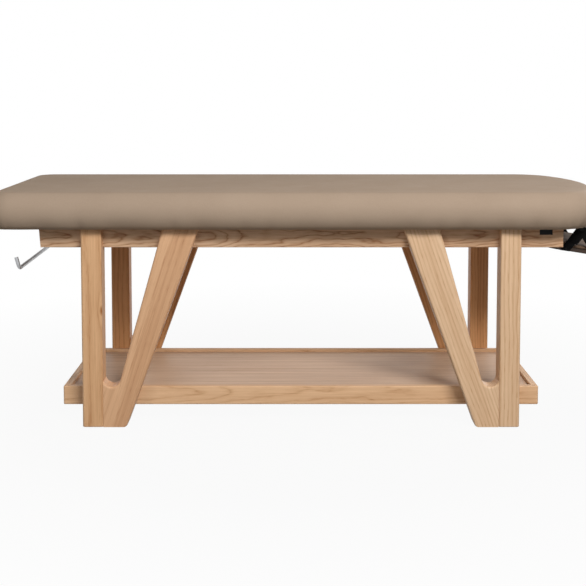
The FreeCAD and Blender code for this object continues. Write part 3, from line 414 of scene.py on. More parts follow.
def board_group():
    """Solid ash: rings about a pith along Z, one knot, fine fibres, open pores and slow changes of tone."""
    name = "ash_board"
    if name in bpy.data.node_groups:
        return bpy.data.node_groups[name]
    inputs = [("Vector", "Vector", None), ("Light", "Color", None), ("Line", "Color", None),
              ("Ring", "Float", 0.009), ("Warp", "Float", 0.01), ("Ripple", "Float", 0.003),
              ("Taper", "Float", 0.0), ("Contrast", "Float", 0.5), ("Streak", "Float", 0.1),
              ("Sapwood", "Float", NO_SAPWOOD), ("Knot", "Vector", NO_KNOT), ("Knot Size", "Float", 0.012)]
    outputs = [("Color", "Color"), ("Height", "Float"), ("Roughness", "Float")]
    tree, given, result = new_group(name, inputs, outputs)
    place = given["Vector"]

    away = vector_maths(tree, "SUBTRACT", place, given["Knot"])[0]
    away = vector_length(tree, stretched(tree, away, KNOT_STRETCH))
    away = maths(tree, "DIVIDE", away, given["Knot Size"])
    swirl = maths(tree, "EXPONENT", maths(tree, "MULTIPLY", maths(tree, "MULTIPLY", away, away), -0.35))
    core = spread(tree, away, 0.25, 0.75, 1.0, 0.0)

    wander = noise(tree, stretched(tree, place, WANDER_STRETCH), 1.0)
    ripple = noise(tree, stretched(tree, place, RIPPLE_STRETCH), 1.0)
    sway = maths(tree, "MULTIPLY", maths(tree, "SUBTRACT", wander, 0.5), given["Warp"])
    shiver = maths(tree, "MULTIPLY", maths(tree, "SUBTRACT", ripple, 0.5), given["Ripple"])
    parts = node(tree, "ShaderNodeSeparateXYZ", None, {0: place}).outputs
    radius = vector_length(tree, stretched(tree, place, ACROSS_GRAIN))
    radius = maths(tree, "ADD", radius, maths(tree, "ADD", sway, shiver))
    radius = plus(tree, radius, parts["Z"], given["Taper"])
    radius = plus(tree, radius, swirl, given["Knot Size"])
    turn = maths(tree, "FRACT", maths(tree, "DIVIDE", radius, given["Ring"]))
    ramp = node(tree, "ShaderNodeValToRGB", None, {"Fac": turn})
    stops = ramp.color_ramp.elements
    stops[0].color = opaque((RING_END_TONE,) * 3)
    stops[1].color = opaque((RING_END_TONE,) * 3)
    for position, tone in RING_TONES:
        stops.new(position).color = opaque((tone,) * 3)
    line = ramp.outputs["Color"]

    fibre = noise(tree, stretched(tree, place, FIBRE_STRETCH), 1.0, 3.0, 0.6)
    fine = evened(tree, fibre)
    pores = noise(tree, stretched(tree, place, PORE_STRETCH), 1.0, 1.0)
    open_pores = maths(tree, "MULTIPLY", spread(tree, pores, 0.58, 0.7), maths(tree, "ADD", line, 0.25))
    band = noise(tree, stretched(tree, place, BAND_STRETCH), 1.0)
    streak = noise(tree, stretched(tree, place, STREAK_STRETCH), 1.0)
    streak = maths(tree, "MULTIPLY", evened(tree, streak, -0.4, 0.6), given["Streak"])
    tone = maths(tree, "ADD", evened(tree, band, 0.0, BAND_TONE), streak)

    shade = maths(tree, "MULTIPLY", line, given["Contrast"])
    shade = plus(tree, shade, fine, FIBRE_TONE)
    shade = plus(tree, shade, open_pores, PORE_TONE)
    shade = plus(tree, shade, core, KNOT_TONE)
    shade = maths(tree, "ADD", shade, tone)
    ragged = maths(tree, "MULTIPLY", maths(tree, "SUBTRACT", maths(tree, "ADD", wander, fibre), 1.0), 0.03)
    edge = maths(tree, "SUBTRACT", maths(tree, "ADD", parts["X"], ragged), given["Sapwood"])
    shade = maths(tree, "SUBTRACT", shade, spread(tree, edge, -0.003, 0.005, SAPWOOD_TONE, 0.0))
    tint = mixed(tree, shade, given["Light"], given["Line"])
    tint.node.clamp_factor = False
    tree.links.new(tint, result.inputs["Color"])
    height = maths(tree, "SUBTRACT", maths(tree, "MULTIPLY", fine, 0.35), open_pores)
    tree.links.new(height, result.inputs["Height"])
    tree.links.new(spread(tree, fibre, 0.25, 0.75, 0.4, 0.56), result.inputs["Roughness"])
    return tree


# The materials
BRUSH_STRETCH = (900.0, 60.0, 900.0)


def vinyl_material(name, own):
    """Soft grained vinyl: pebbled grain, faint mottling and a satin face."""
    material, tree, shader, place = new_material(name)
    pebble = node(tree, "ShaderNodeTexVoronoi", {"feature": "SMOOTH_F1"},
                  {"Vector": place, "Scale": 650.0, "Smoothness": 0.6}).outputs["Distance"]
    pebble = spread(tree, pebble, 0.1, 0.75)
    crease = spread(tree, noise(tree, place, 240.0, 3.0, 0.6), 0.35, 0.65)
    cloud = evened(tree, noise(tree, place, 4.5, 3.0, 0.55), 0.0, 0.3)
    shade = maths(tree, "ADD", maths(tree, "MULTIPLY", pebble, 0.45), cloud, True)
    tint = mixed(tree, shade, own.vinyl, own.vinyl_deep)
    height = plus(tree, maths(tree, "MULTIPLY", pebble, -0.8), crease, 0.3)
    coat(tree, shader, tint, smudged(tree, place, 14.0, 0.56, 0.68), height, 0.35, 0.4 * MM)
    shader.inputs["Specular IOR Level"].default_value = 0.02
    return material


def board_material(node_name, turn, pith, light, line, knot=NO_KNOT, sapwood=NO_SAPWOOD, **grain):
    """Ash for one board: the grain's turn, the pith's place from the board's middle, and its own grain."""
    low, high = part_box(node_name)
    rotation = Euler(turn)
    shift = Vector((pith[0], pith[1], 0.0)) - rotation.to_matrix() @ ((low + high) / 2)
    material, tree, shader, place = new_material(f"{node_name}_ash")
    inputs = {"Vector": place, "Rotation": rotation, "Location": shift}
    turned = node(tree, "ShaderNodeMapping", {"vector_type": "POINT"}, inputs).outputs["Vector"]
    inputs = {"Vector": turned, "Light": opaque(light), "Line": opaque(line), "Sapwood": pith[0] + sapwood,
              "Knot": (pith[0] + knot[0], pith[1] + knot[1], knot[2])}
    inputs.update((label.title(), value) for label, value in grain.items())
    board = node(tree, "ShaderNodeGroup", {"node_tree": board_group()}, inputs).outputs
    coat(tree, shader, board["Color"], board["Roughness"], board["Height"], 0.25, 0.3 * MM)
    shader.inputs["Specular IOR Level"].default_value = 0.3
    return material


def metal_material(name, tint, low, high):
    """Satin metal with fine brushing and handling marks."""
    material, tree, shader, place = new_material(name)
    brushed = noise(tree, stretched(tree, place, BRUSH_STRETCH), 1.0)
    worn = mixed(tree, evened(tree, brushed, 0.0, 0.35), tint, tuple(0.75 * c for c in tint))
    coat(tree, shader, worn, smudged(tree, place, 30.0, low, high), brushed, 0.05, 0.1 * MM)
    shader.inputs["Metallic"].default_value = 1.0
    return material


def moulded_material(name, tint, low, high):
    """Plain moulded plastic or paint with a fine orange-peel face."""
    material, tree, shader, place = new_material(name)
    peel = noise(tree, place, 420.0)
    worn = mixed(tree, evened(tree, peel, 0.0, 0.5), tint, tuple(0.8 * c for c in tint))
    coat(tree, shader, worn, smudged(tree, place, 40.0, low, high), peel, 0.2, 0.2 * MM)
    shader.inputs["Specular IOR Level"].default_value = 0.1
    return material


def webbing_material(name, tint):
    """Woven webbing: cross ribs along the strap's own map, with fuzzy sheen."""
    material, tree, shader, place = new_material(name)
    weave = tree.nodes.new("ShaderNodeUVMap").outputs["UV"]
    ribs = node(tree, "ShaderNodeTexWave", {"bands_direction": "X"},
                {"Vector": weave, "Scale": 320.0, "Distortion": 0.6, "Detail": 1.0}).outputs["Fac"]
    warp = node(tree, "ShaderNodeTexWave", {"bands_direction": "Y"},
                {"Vector": weave, "Scale": 140.0, "Distortion": 0.3}).outputs["Fac"]
    cloth = maths(tree, "MULTIPLY", ribs, maths(tree, "ADD", maths(tree, "MULTIPLY", warp, 0.6), 0.4))
    tinted = mixed(tree, cloth, tuple(0.55 * c for c in tint), tuple(min(1.0, 1.9 * c) for c in tint))
    coat(tree, shader, tinted, smudged(tree, place, 60.0, 0.6, 0.8), cloth, 0.6, 0.5 * MM)
    shader.inputs["Specular IOR Level"].default_value = 0.05
    shader.inputs["Sheen Weight"].default_value = 0.02
    return material


# The cushion on the table
def arc(centre, radius, start, end, step):
    """Points and outward normals along an arc, without its last point."""
    count = max(2, round(abs(end - start) * radius / step))
    found = []
    for i in range(count):
        angle = start + (end - start) * i / count
        normal = Vector((math.cos(angle), math.sin(angle)))
        found.append((Vector(centre) + radius * normal, normal))
    return found


def straight(start, end, normal, step):
    """Points and outward normals along a straight edge, without its last point."""
    count = max(2, round((Vector(end) - Vector(start)).length / step))
    return [(Vector(start).lerp(Vector(end), i / count), Vector(normal)) for i in range(count)]


def cushion_outline(own):
    """The table top seen from above: square foot end, bowed head end. Points with normals, anticlockwise."""
    low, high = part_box("cover")
    half = high.y
    foot, head = low.x, high.x
    r_foot, r_head, r_bow, step = own.foot_corner, own.head_corner, own.head_bow, own.step
    bow_x = head - r_bow
    corner_y = half - r_head
    corner_x = bow_x + math.sqrt((r_bow - r_head) ** 2 - corner_y**2)
    turn = math.atan2(corner_y, corner_x - bow_x)
    right = math.pi / 2
    points = straight((foot + r_foot, -half), (corner_x, -half), (0, -1), step)
    points += arc((corner_x, -corner_y), r_head, -right, -turn, step)
    points += arc((bow_x, 0), r_bow, -turn, turn, step)
    points += arc((corner_x, corner_y), r_head, turn, right, step)
    points += straight((corner_x, half), (foot + r_foot, half), (0, 1), step)
    points += arc((foot + r_foot, half - r_foot), r_foot, right, math.pi, step)
    points += straight((foot, half - r_foot), (foot, -half + r_foot), (-1, 0), step)
    points += arc((foot + r_foot, -half + r_foot), r_foot, math.pi, math.pi + right, step)
    return points


# Curve of the side, and the share of its height where it is widest and that the staples draw in
SIDE_POWER = 2.2
WIDEST_SHARE = 0.46
PULL_SHARE = 0.3

# Waves in a full turn of pleats, and the bend between points that makes a corner
PLEAT_WAVES = 26
CORNER_BEND = 0.05

# Rings of points in each part of the cushion, and in the soft fold between side and top
LIP_RINGS = 3
SIDE_RINGS = 16
TOP_RINGS = 34
TOP_RING_POWER = 1.25
SHOULDER_BELOW = 2
SHOULDER_ABOVE = 4

# How it swells: the share at the lower edge, its rise with the height, the pressure and the time
SWELL_START = 0.15
SWELL_RISE = 4
PRESSURE = 4.0
SWELL_FRAMES = 20


def side_inset(own, share):
    """How far the side is drawn in at a share of its height."""
    if share < WIDEST_SHARE:
        return own.bottom_inset * ((WIDEST_SHARE - share) / WIDEST_SHARE) ** SIDE_POWER
    return own.top_inset * ((share - WIDEST_SHARE) / (1 - WIDEST_SHARE)) ** SIDE_POWER


def staple_dips(own, points):
    """How hard the lower side is drawn in at each outline point, from 0 to 1, unevenly as by hand."""
    along = 0.0
    dips = []
    for i, (point, _) in enumerate(points):
        wobble = 0.25 * math.sin(along * 9.0) + 0.2 * math.sin(along * 23.0 + 1.0)
        phase = along / own.staple_gap + wobble
        dips.append((0.5 + 0.5 * math.cos(2 * math.pi * phase)) ** 2 * (0.75 + 0.25 * math.sin(along * 5.0)))
        along += (points[(i + 1) % len(points)][0] - point).length
    return dips


def corner_pleats(points):
    """A wave along the rounded corners, where the vinyl is gathered under the deck."""
    waves = []
    for i, (_, normal) in enumerate(points):
        before, after = points[i - 1][1], points[(i + 1) % len(points)][1]
        angle = math.atan2(normal.y, normal.x)
        waves.append(math.sin(angle * PLEAT_WAVES) if before.angle(after) > CORNER_BEND else 0.0)
    return waves


def cushion_rings(own):
    """Rings of points from the lip under the deck, up the side and over the top, with their swell limits."""
    low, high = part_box("cover")
    outline = cushion_outline(own)
    dips = staple_dips(own, outline)
    pleats = corner_pleats(outline)
    bottom = low.z
    crease = high.z - own.crown
    gap = own.start_gap
    rings, limits, held = [], [], []

    def add(ring, limit, pin):
        rings.append(ring)
        limits.append(limit)
        held.append(pin)

    for i in range(LIP_RINGS):
        inset = own.bottom_inset + own.lip * (1 - i / LIP_RINGS)
        add([Vector((*(p - n * inset), bottom)) for p, n in outline], 0.0, 1.0)
    for i in range(SIDE_RINGS):
        share = (i + 0.5) / SIDE_RINGS if i else 0.0
        pull = math.exp(-((share / PULL_SHARE) ** 2))
        ring = []
        for (p, n), dip, pleat in zip(outline, dips, pleats):
            inset = side_inset(own, share) + gap + pull * (own.staple_pull * dip + own.pleat * pleat)
            ring.append(Vector((*(p - n * inset), bottom + (crease - bottom) * share)))
        limit = own.side_swell * min(1.0, share * SWELL_RISE + SWELL_START)
        add(ring, limit, 1.0 if i == 0 else 0.0)
    reach = high.y
    spine = (low.x + reach, high.x - reach)
    for i in range(TOP_RINGS + 1):
        share = (i / TOP_RINGS) ** TOP_RING_POWER
        rise = own.crown * (1 - (1 - share) ** 2)
        ring = []
        for p, n in outline:
            edge = p - n * (own.top_inset + gap)
            middle = Vector((min(max(edge.x, spine[0]), spine[1]), 0.0))
            ring.append(Vector((*edge.lerp(middle, share), crease + rise - gap)))
        add(ring, own.top_swell, 0.0)
    return rings, limits, held


def swell(obj, pinned, limits):
    """Blows the form up as cloth, holds each point within its limit, and keeps the result."""
    scene = bpy.context.scene
    start = [v.co.copy() for v in obj.data.vertices]
    group = obj.vertex_groups.new(name="held")
    for weight in sorted(set(pinned)):
        group.add([i for i, w in enumerate(pinned) if w == weight], weight, "REPLACE")
    cloth = obj.modifiers.new("swell", "CLOTH")
    fabric = cloth.settings
    fabric.quality = 6
    fabric.mass = 0.3
    fabric.tension_stiffness = 25
    fabric.compression_stiffness = 25
    fabric.shear_stiffness = 12
    fabric.bending_stiffness = 2.0
    fabric.use_pressure = True
    fabric.uniform_pressure_force = PRESSURE
    fabric.vertex_group_mass = group.name
    fabric.effector_weights.gravity = 0.0
    cloth.collision_settings.use_collision = False
    cloth.point_cache.frame_start = 1
    cloth.point_cache.frame_end = SWELL_FRAMES
    for step in range(1, SWELL_FRAMES + 1):
        scene.frame_set(step)
    apply(obj, cloth)
    scene.frame_set(1)
    for vertex, rest, limit in zip(obj.data.vertices, start, limits):
        move = vertex.co - rest
        if move.length > limit:
            vertex.co = rest + move.normalized() * limit
    obj.vertex_groups.clear()
    obj.data.update()


def soften(obj, points):
    """Rounds the fold over the foam's upper edge."""
    group = obj.vertex_groups.new(name="shoulder")
    group.add(list(points), 1.0, "REPLACE")
    ease = obj.modifiers.new("ease", "SMOOTH")
    ease.vertex_group = group.name
    ease.factor = 0.5
    ease.iterations = 12
    apply(obj, ease)
    obj.vertex_groups.clear()


class TABLE_OT_cushion(bpy.types.Operator):
    """The vinyl cushion, stapled under the deck and swollen over its foam"""
    bl_idname = "table.cushion"
    bl_label = "Make the cushion"

    def execute(self, context):
        own = context.scene.table_cushion
        rings, limits, held = cushion_rings(own)
        count = len(rings[0])
        points = [p for ring in rings for p in ring]
        cushion = new_piece("table_cushion", points, ring_faces(len(rings), count))
        pinned = [pin for pin in held for _ in range(count)]
        caps = [cap for cap in limits for _ in range(count)]
        swell(cushion, pinned, caps)
        crease = (LIP_RINGS + SIDE_RINGS) * count
        soften(cushion, range(crease - SHOULDER_BELOW * count, crease + SHOULDER_ABOVE * count))
        outward(cushion)
        wall = cushion.modifiers.new("skin", "SOLIDIFY")
        wall.thickness = own.skin
        wall.offset = -1.0
        apply(cushion, wall)
        smooth(cushion)
        dress(cushion, vinyl_material("taupe_vinyl", own), "table", "vinyl", "cover", "foam_core")
        return {"FINISHED"}


# The arm rest
class TABLE_OT_arm_pad(bpy.types.Operator):
    """The thin vinyl pad on the arm rest's board"""
    bl_idname = "table.arm_pad"
    bl_label = "Make the arm pad"

    def execute(self, context):
        own = context.scene.table_arm
        source = frame["nodes"]["arm_rest_pad"]
        pad = new_object("arm_cushion", source.data.copy())
        low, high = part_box("arm_rest_pad")
        middle = (low + high) / 2
        outward(pad)
        pad.data.transform(Matrix.Translation(middle) @ Matrix.Scale(own.start_scale, 4)
                           @ Matrix.Translation(-middle))
        remesh = pad.modifiers.new("even", "REMESH")
        remesh.mode = "VOXEL"
        remesh.voxel_size = own.voxel
        apply(pad, remesh)
        count = len(pad.data.vertices)
        swell(pad, [0.0] * count, [own.swell] * count)
        fine = pad.modifiers.new("fine", "SUBSURF")
        fine.levels = 1
        fine.render_levels = 1
        apply(pad, fine)
        smooth(pad)
        # Painted shade: the pad's vinyl colours are darkened for the shade under the cushion
        dress(pad, vinyl_material("brown_vinyl", own), "arm_rest", "vinyl", "arm_rest_pad")
        return {"FINISHED"}


# Radii of the screws' heads and the eyelets' holes
SCREW_HEAD = 4 * MM
EYELET_HOLE = 6.2 * MM

# Edges of the webbing, and the radius of its round end as a share of its width
SOFT_EDGE = 0.3 * MM
SOFT_EDGE_ANGLE = math.radians(50)
SMOOTH_ANGLE = math.radians(35)
ROUND_END_SHARE = 0.49

# The seam's distance from the tail's sides and ends, and from stitch to stitch in stitches
SEAM_MARGIN = 3 * MM
SEAM_END = 4 * MM
STITCH_PITCH = 1.5


def strap_places():
    """The eyelet's middle, and the middles of the two screws below it, in X and Z."""
    joint = next(j for j in frame["joints"] if j["name"] == "arm_rest_swing")
    low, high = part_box("strap_screws")
    return (Vector((joint["pos_m"][0], joint["pos_m"][2])), Vector((low.x + SCREW_HEAD, high.z - SCREW_HEAD)),
            Vector((high.x - SCREW_HEAD, low.z + SCREW_HEAD)))


def select_edges(obj, wanted):
    """Goes into edit mode with only the wanted edges selected."""
    activate(obj)
    set_mode("EDIT")
    bpy.ops.mesh.select_mode(type="EDGE")
    bpy.ops.mesh.select_all(action="DESELECT")
    set_mode("OBJECT")
    points = obj.data.vertices
    for edge in obj.data.edges:
        edge.select = wanted(*(points[i].co for i in edge.vertices))
    set_mode("EDIT")


def band(long, wide, thick, rounded):
    """A band of webbing along X from the origin, soft at its edges, with a round start if asked."""
    deselect()
    bpy.ops.mesh.primitive_cube_add(size=1.0)
    made = bpy.context.active_object
    set_mode("EDIT")
    bpy.ops.transform.resize(value=(long, thick, wide))
    bpy.ops.transform.translate(value=(long / 2, 0.0, 0.0))
    set_mode("OBJECT")
    if rounded:
        select_edges(made, lambda a, b: max(a.x, b.x) < NEAR and abs(a.z - b.z) < NEAR)
        bpy.ops.mesh.bevel(offset=ROUND_END_SHARE * wide, segments=10, affect="EDGES")
        set_mode("OBJECT")
    edge = made.modifiers.new("edge", "BEVEL")
    edge.width = SOFT_EDGE
    edge.segments = 2
    edge.limit_method = "ANGLE"
    edge.angle_limit = SOFT_EDGE_ANGLE
    apply(made, edge)
    layer = made.data.uv_layers.active or made.data.uv_layers.new(name="UVMap")
    for loop in made.data.loops:
        point = made.data.vertices[loop.vertex_index].co
        layer.data[loop.index].uv = (point.x, point.z)
    return made


def lay(obj, start, heading, along, offset, y):
    """Lays a band in the XZ plane: along a heading from a start, moved across it, at a Y."""
    across = Vector((-heading.y, heading.x))
    spot = start + heading * along + across * offset
    obj.data.transform(Matrix(((heading.x, 0.0, across.x, spot.x), (0.0, 1.0, 0.0, y),
                               (heading.y, 0.0, across.y, spot.y), (0.0, 0.0, 0.0, 1.0))))
    return obj


def join(parts):
    activate(parts[0])
    for part in parts:
        part.select_set(True)
    bpy.ops.object.join()
    return parts[0]


def pierce(obj, centre, radius):
    """Cuts a round hole along Y."""
    deselect()
    bpy.ops.mesh.primitive_cylinder_add(vertices=32, radius=radius, depth=4 * radius, location=centre,
                                        rotation=(math.pi / 2, 0, 0))
    tool = bpy.context.active_object
    hole = obj.modifiers.new("hole", "BOOLEAN")
    hole.operation = "DIFFERENCE"
    hole.solver = "EXACT"
    hole.object = tool
    apply(obj, hole)
    bpy.data.objects.remove(tool)


def trim(obj, point, normal):
    """Cuts off what lies beyond a plane and closes the cut."""
    activate(obj)
    set_mode("EDIT")
    bpy.ops.mesh.select_all(action="SELECT")
    bpy.ops.mesh.bisect(plane_co=point, plane_no=normal, use_fill=True, clear_outer=True)
    set_mode("OBJECT")


class TABLE_OT_straps(bpy.types.Operator):
    """The black webbing slings that carry the arm rest, with their sewn tails and stitches"""
    bl_idname = "table.straps"
    bl_label = "Make the straps"

    def execute(self, context):
        own = context.scene.table_arm
        eye, left, right = strap_places()
        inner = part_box("back_strap")[0].y
        webbing = webbing_material("black_webbing", own.webbing)
        thread = webbing_material("black_thread", own.thread_tint)
        heading = (left - eye).normalized()
        face = inner + 2 * own.ply
        for side, end in ((-1, "front"), (1, "back")):
            sling = self.sling(own, side, eye, ((left, 1), (right, 0)), inner)
            sling.name = f"{end}_sling"
            dress(sling, webbing, "arm_rest", "webbing", f"{end}_strap")
            tail = lay(band(own.tail_end - own.tail_start, own.strap_width, own.ply, False), eye, heading,
                       own.tail_start, own.tail_offset, side * (face + own.ply / 2))
            tail.name = f"{end}_tail"
            smooth(tail, SMOOTH_ANGLE)
            dress(tail, webbing, "arm_rest", "webbing")
            stitches = self.sew(own, eye, heading, side * (face + own.ply))
            stitches.name = f"{end}_stitches"
            dress(stitches, thread, "arm_rest", "webbing")
        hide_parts("strap_tails")
        return {"FINISHED"}

    def sling(self, own, side, eye, feet, inner):
        """Two legs from the eyelet to the screws. One lies on the other, and each foot is folded double."""
        round_end = own.strap_width / 2
        run = (feet[1][0] - feet[0][0]).normalized()
        down = Vector((run.y, 0.0, -run.x))
        below = Vector((feet[0][0].x, 0.0, feet[0][0].y)) + down * own.foot_end
        parts = []
        for foot, layer in feet:
            heading = (foot - eye).normalized()
            reach = (foot - eye).length + own.strap_width
            y = inner + own.ply * (layer + 0.5)
            leg = band(reach + round_end, own.strap_width, own.ply, True)
            lay(leg, eye, heading, -round_end, 0.0, side * y)
            pierce(leg, (eye.x, side * y, eye.y), EYELET_HOLE)
            fold = band(own.fold, own.strap_width, own.ply, False)
            lay(fold, eye, heading, reach - own.fold, 0.0, side * (inner + own.ply * (1.5 - layer)))
            for part in (leg, fold):
                trim(part, below, down)
            parts += [leg, fold]
        for part in parts:
            smooth(part, SMOOTH_ANGLE)
        return join(parts)

    def sew(self, own, eye, heading, face_y):
        """A box of stitches with a cross in it."""
        half = own.strap_width / 2 - SEAM_MARGIN
        low, high = own.tail_start + SEAM_END, own.tail_end - SEAM_END
        corners = [Vector(c) for c in ((low, -half), (high, -half), (high, half), (low, half))]
        runs = list(zip(corners, corners[1:] + corners[:1]))
        runs += [(corners[0], corners[2]), (corners[1], corners[3])]
        deselect()
        bpy.ops.mesh.primitive_uv_sphere_add(segments=8, ring_count=5, radius=0.5)
        bpy.ops.object.shade_smooth()
        pattern = bpy.context.active_object
        pattern.data.transform(Matrix.Diagonal((own.stitch, own.thread, own.thread, 1.0)))
        made = []
        for start, end in runs:
            count = max(2, round((end - start).length / (STITCH_PITCH * own.stitch)))
            turn = Matrix.Rotation(-math.atan2(end.y - start.y, end.x - start.x), 4, "Y")
            for i in range(count):
                spot = start.lerp(end, (i + 0.5) / count)
                stitch = new_object("stitch", pattern.data.copy())
                stitch.data.transform(turn)
                made.append(lay(stitch, eye, heading, spot.x, own.tail_offset + spot.y, face_y))
        bpy.data.objects.remove(pattern)
        return join(made)


# Wood, steel and small fittings
GRAIN_TURN = {"x": (0.0, -math.pi / 2, 0.0), "y": (math.pi / 2, 0.0, 0.0), "z": (0.0, 0.0, 0.0)}
RAIL_GRAIN = dict(ring=0.005, warp=0.05, ripple=0.018, taper=0.03, contrast=0.7)
RIM_GRAIN = dict(ring=0.008, taper=0.03, contrast=0.4)
CROSS_RAIL_GRAIN = dict(ring=0.007, taper=0.04)

# Each board's node, the way its grain runs, its pith's place from its middle, its wood and its own grain
BOARDS = [
    ("head_front_post", "z", (-0.20, -0.17), "pale", dict(warp=0.03, ripple=0.007)),
    # The pieces at the back take the ash with painted bounce light
    ("head_back_post", "z", (0.22, 0.16), "bounce_painted_ash", dict(warp=0.03, sapwood=-0.006)),
    ("head_front_brace", "head brace", (0.24, -0.2), "pale",
     dict(warp=0.05, ripple=0.006, contrast=0.36, taper=0.012)),
    ("head_back_brace", "head brace", (-0.2, 0.2), "bounce_painted_ash", dict(warp=0.03)),
    ("foot_front_post", "z", (0.16, -0.3), "honey",
     dict(warp=0.05, contrast=0.34, ring=0.019, ripple=0.006, knot=(0.033, -0.033, 0.055))),
    ("foot_back_post", "z", (-0.2, 0.3), "bounce_painted_ash", dict(warp=0.04, contrast=0.4)),
    ("foot_front_brace", "foot brace", (0.3, -0.22), "rose",
     dict(warp=0.03, contrast=0.14, ring=0.014, streak=0.05, sapwood=-0.022)),
    ("foot_back_brace", "foot brace", (-0.2, 0.24), "bounce_painted_ash", dict(warp=0.03, knot=(0.0, -0.032, 0.06))),
    ("front_rail", "x", (0.004, -0.035), "rail", RAIL_GRAIN),
    ("back_rail", "x", (0.01, 0.045), "rail", RAIL_GRAIN),
    ("foot_cross_rail", "y", (0.04, 0.03), "rail", CROSS_RAIL_GRAIN),
    ("middle_cross_rail", "y", (0.04, 0.03), "rail", CROSS_RAIL_GRAIN),
    ("head_cross_rail", "y", (0.04, 0.03), "rail", CROSS_RAIL_GRAIN),
    ("tray_front_rim", "x", (0.012, -0.05), "rim",
     dict(ring=0.006, warp=0.03, ripple=0.01, taper=0.02, contrast=0.42)),
    ("tray_back_rim", "x", (0.02, 0.06), "rim", dict(warp=0.025, **RIM_GRAIN)),
    ("tray_head_rim", "y", (0.03, 0.05), "rim", RIM_GRAIN),
    ("tray_foot_rim", "y", (0.03, -0.05), "rim", RIM_GRAIN),
    ("tray_panel", "x", (0.1, 0.9), "shelf", dict(ring=0.012, warp=0.05, contrast=0.4, streak=0.5)),
    ("tray_battens", "y", (0.2, 0.05), "rim", {}),
    ("deck_board", "x", (0.1, 0.8), "deck", dict(ring=0.014, warp=0.06)),
    ("arm_rest_board", "y", (0.4, 0.1), "stain", {}),
    ("rail_dowels", "y", (0.2, 0.1), "deck", {}),
    ("leg_dowels", "y", (0.2, 0.1), "deck", {}),
    ("tray_dowels", "y", (0.2, 0.1), "deck", {}),
]


class TABLE_OT_wood(bpy.types.Operator):
    """Ash on every board, each with its own grain"""
    bl_idname = "table.wood"
    bl_label = "Finish the wood"

    def execute(self, context):
        own = context.scene.table_wood
        turns = {**GRAIN_TURN, "head brace": (0.0, own.lean, 0.0), "foot brace": (0.0, -own.lean, 0.0)}
        for name, way, pith, wood, grain in BOARDS:
            light, line = getattr(own, wood), getattr(own, f"{wood}_line")
            paint(frame["nodes"][name], board_material(name, turns[way], pith, light, line, **grain))
        return {"FINISHED"}


class TABLE_OT_metal(bpy.types.Operator):
    """Steel, zinc, black paint and nylon on the fittings"""
    bl_idname = "table.metal"
    bl_label = "Finish the fittings"

    def execute(self, context):
        own = context.scene.table_metal
        steel = metal_material("satin_steel", own.steel, 0.28, 0.42)
        zinc = metal_material("plated_zinc", own.zinc, 0.35, 0.5)
        black = moulded_material("black_paint", own.black, 0.35, 0.5)
        glide = moulded_material("dark_nylon", own.glide, 0.5, 0.65)
        bush = moulded_material("white_nylon", own.bush, 0.4, 0.55)
        groups = [
            (steel, ("roll_bar", "roll_collar", "roll_bracket")),
            (zinc, ("deck_screws", "leg_bolts", "leg_washers", "leg_inserts", "tray_bolts", "tray_washers",
                    "tray_inserts", "batten_screws", "roll_screws", "hanger_screws")),
            (black, ("front_hanger", "back_hanger", "hanger_pins", "strap_eyelets", "strap_screws",
                     "label_plate")),
            (glide, ("foot_glides",)),
            (bush, ("roll_bush",)),
        ]
        for material, names in groups:
            for name in names:
                paint(frame["nodes"][name], material)
        return {"FINISHED"}


# The stage
SENSOR_WIDTH = 36.0
FLOOR_SIZE = 40.0

# Distances from the middle where the floor's shadow starts to fade and where it ends
SHADOW_NEAR = 0.9
SHADOW_FAR = 2.2

# Each light's name, place, target and size
LIGHTS = (
    ("key", (1.7, -4.0, 3.6), (0.05, -0.3, 0.55), (2.4, 1.5)),
    ("fill", (-2.2, -3.6, 2.3), (-0.3, 0.0, 0.4), (1.6, 1.6)),
    ("back", (3.2, 3.4, 2.2), (0.0, 0.2, 0.5), (2.2, 1.5)),
    ("top", (0.7, 0.1, 3.75), (0.3, 0.0, 0.7), (1.6, 1.0)),
)


def seen_directly(tree):
    """1 where the camera, a reflection or glass looks at it, and 0 where it only gives light."""
    path = tree.nodes.new("ShaderNodeLightPath")
    seen = maths(tree, "MAXIMUM", path.outputs["Is Camera Ray"], path.outputs["Is Glossy Ray"])
    return maths(tree, "MAXIMUM", seen, path.outputs["Is Transmission Ray"])


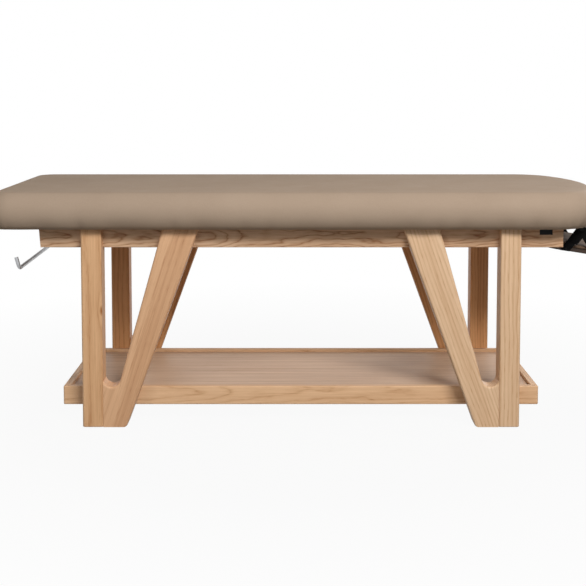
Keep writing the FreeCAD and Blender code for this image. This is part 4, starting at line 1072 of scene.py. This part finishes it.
class TABLE_OT_stage(bpy.types.Operator):
    """Floor, white surroundings, soft lights and the camera"""
    bl_idname = "table.stage"
    bl_label = "Set the stage"

    def execute(self, context):
        scene = context.scene
        own = scene.table_stage
        scene.view_settings.view_transform = "Standard"
        self.make_floor(own)
        world = bpy.data.worlds.new("studio")
        world.use_nodes = True
        scene.world = world
        tree = world.node_tree
        light = mixed(tree, seen_directly(tree), (own.ambient,) * 3, WHITE)
        tree.links.new(light, tree.nodes["Background"].inputs["Color"])
        for name, place, target, size in LIGHTS:
            self.make_light(name, place, target, size, getattr(own, f"{name}_power"))
        data = bpy.data.cameras.new("camera")
        data.sensor_width = SENSOR_WIDTH
        data.lens = own.lens
        data.shift_y = own.shift
        camera = new_object("camera", data)
        camera.location = own.camera_place
        camera.rotation_euler = (math.pi / 2 - own.camera_tilt, 0.0, 0.0)
        scene.camera = camera
        return {"FINISHED"}

    def make_floor(self, own):
        """A white floor that shows a share of the object's soft shadow."""
        deselect()
        bpy.ops.mesh.primitive_plane_add(size=FLOOR_SIZE)
        floor = bpy.context.active_object
        floor.name = "floor"
        material, tree, shader, place = new_material("pale_floor")
        shader.inputs["Base Color"].default_value = opaque(own.floor)
        shader.inputs["Roughness"].default_value = 0.9
        glow = node(tree, "ShaderNodeEmission", None, {"Color": opaque(WHITE), "Strength": 1.0})
        shade = spread(tree, vector_length(tree, place), SHADOW_NEAR, SHADOW_FAR, own.floor_shade, 0.0)
        share = maths(tree, "MULTIPLY", seen_directly(tree), maths(tree, "SUBTRACT", 1.0, shade))
        blend = node(tree, "ShaderNodeMixShader", None,
                     {0: share, 1: shader.outputs["BSDF"], 2: glow.outputs["Emission"]})
        tree.links.new(blend.outputs["Shader"], tree.nodes["Material Output"].inputs["Surface"])
        floor.data.materials.append(material)

    def make_light(self, name, place, target, size, power):
        """A soft light, turned to its target."""
        data = bpy.data.lights.new(name, "AREA")
        data.energy = power
        data.shape = "RECTANGLE"
        data.size, data.size_y = size
        light = new_object(name, data)
        light.location = place
        light.rotation_euler = (Vector(target) - Vector(place)).to_track_quat("-Z", "Y").to_euler()


class TABLE_PT_panel(bpy.types.Panel):
    """A button for each step, and every setting"""
    bl_label = "Treatment table"
    bl_idname = "TABLE_PT_panel"
    bl_space_type = "VIEW_3D"
    bl_region_type = "UI"
    bl_category = "Table"

    def draw(self, context):
        for operator in OPERATORS:
            self.layout.operator(operator.bl_idname)
        for name, _ in SETTINGS:
            settings = getattr(context.scene, name)
            box = self.layout.box()
            for key in settings.__annotations__:
                box.prop(settings, key)


SETTINGS = (("table_cushion", CushionSettings), ("table_arm", ArmRestSettings), ("table_wood", WoodSettings),
            ("table_metal", MetalSettings), ("table_stage", StageSettings))
OPERATORS = (TABLE_OT_cushion, TABLE_OT_arm_pad, TABLE_OT_straps, TABLE_OT_wood, TABLE_OT_metal,
             TABLE_OT_stage)


def register():
    for name, group in SETTINGS:
        bpy.utils.register_class(group)
        setattr(bpy.types.Scene, name, PointerProperty(type=group))
    for operator in OPERATORS:
        bpy.utils.register_class(operator)
    bpy.utils.register_class(TABLE_PT_panel)


def unregister():
    bpy.utils.unregister_class(TABLE_PT_panel)
    for operator in reversed(OPERATORS):
        bpy.utils.unregister_class(operator)
    for name, group in reversed(SETTINGS):
        delattr(bpy.types.Scene, name)
        bpy.utils.unregister_class(group)


def main():
    register()
    bpy.ops.table.cushion()
    bpy.ops.table.arm_pad()
    bpy.ops.table.straps()
    bpy.ops.table.wood()
    bpy.ops.table.metal()
    bpy.ops.table.stage()


if __name__ == "__main__":
    main()
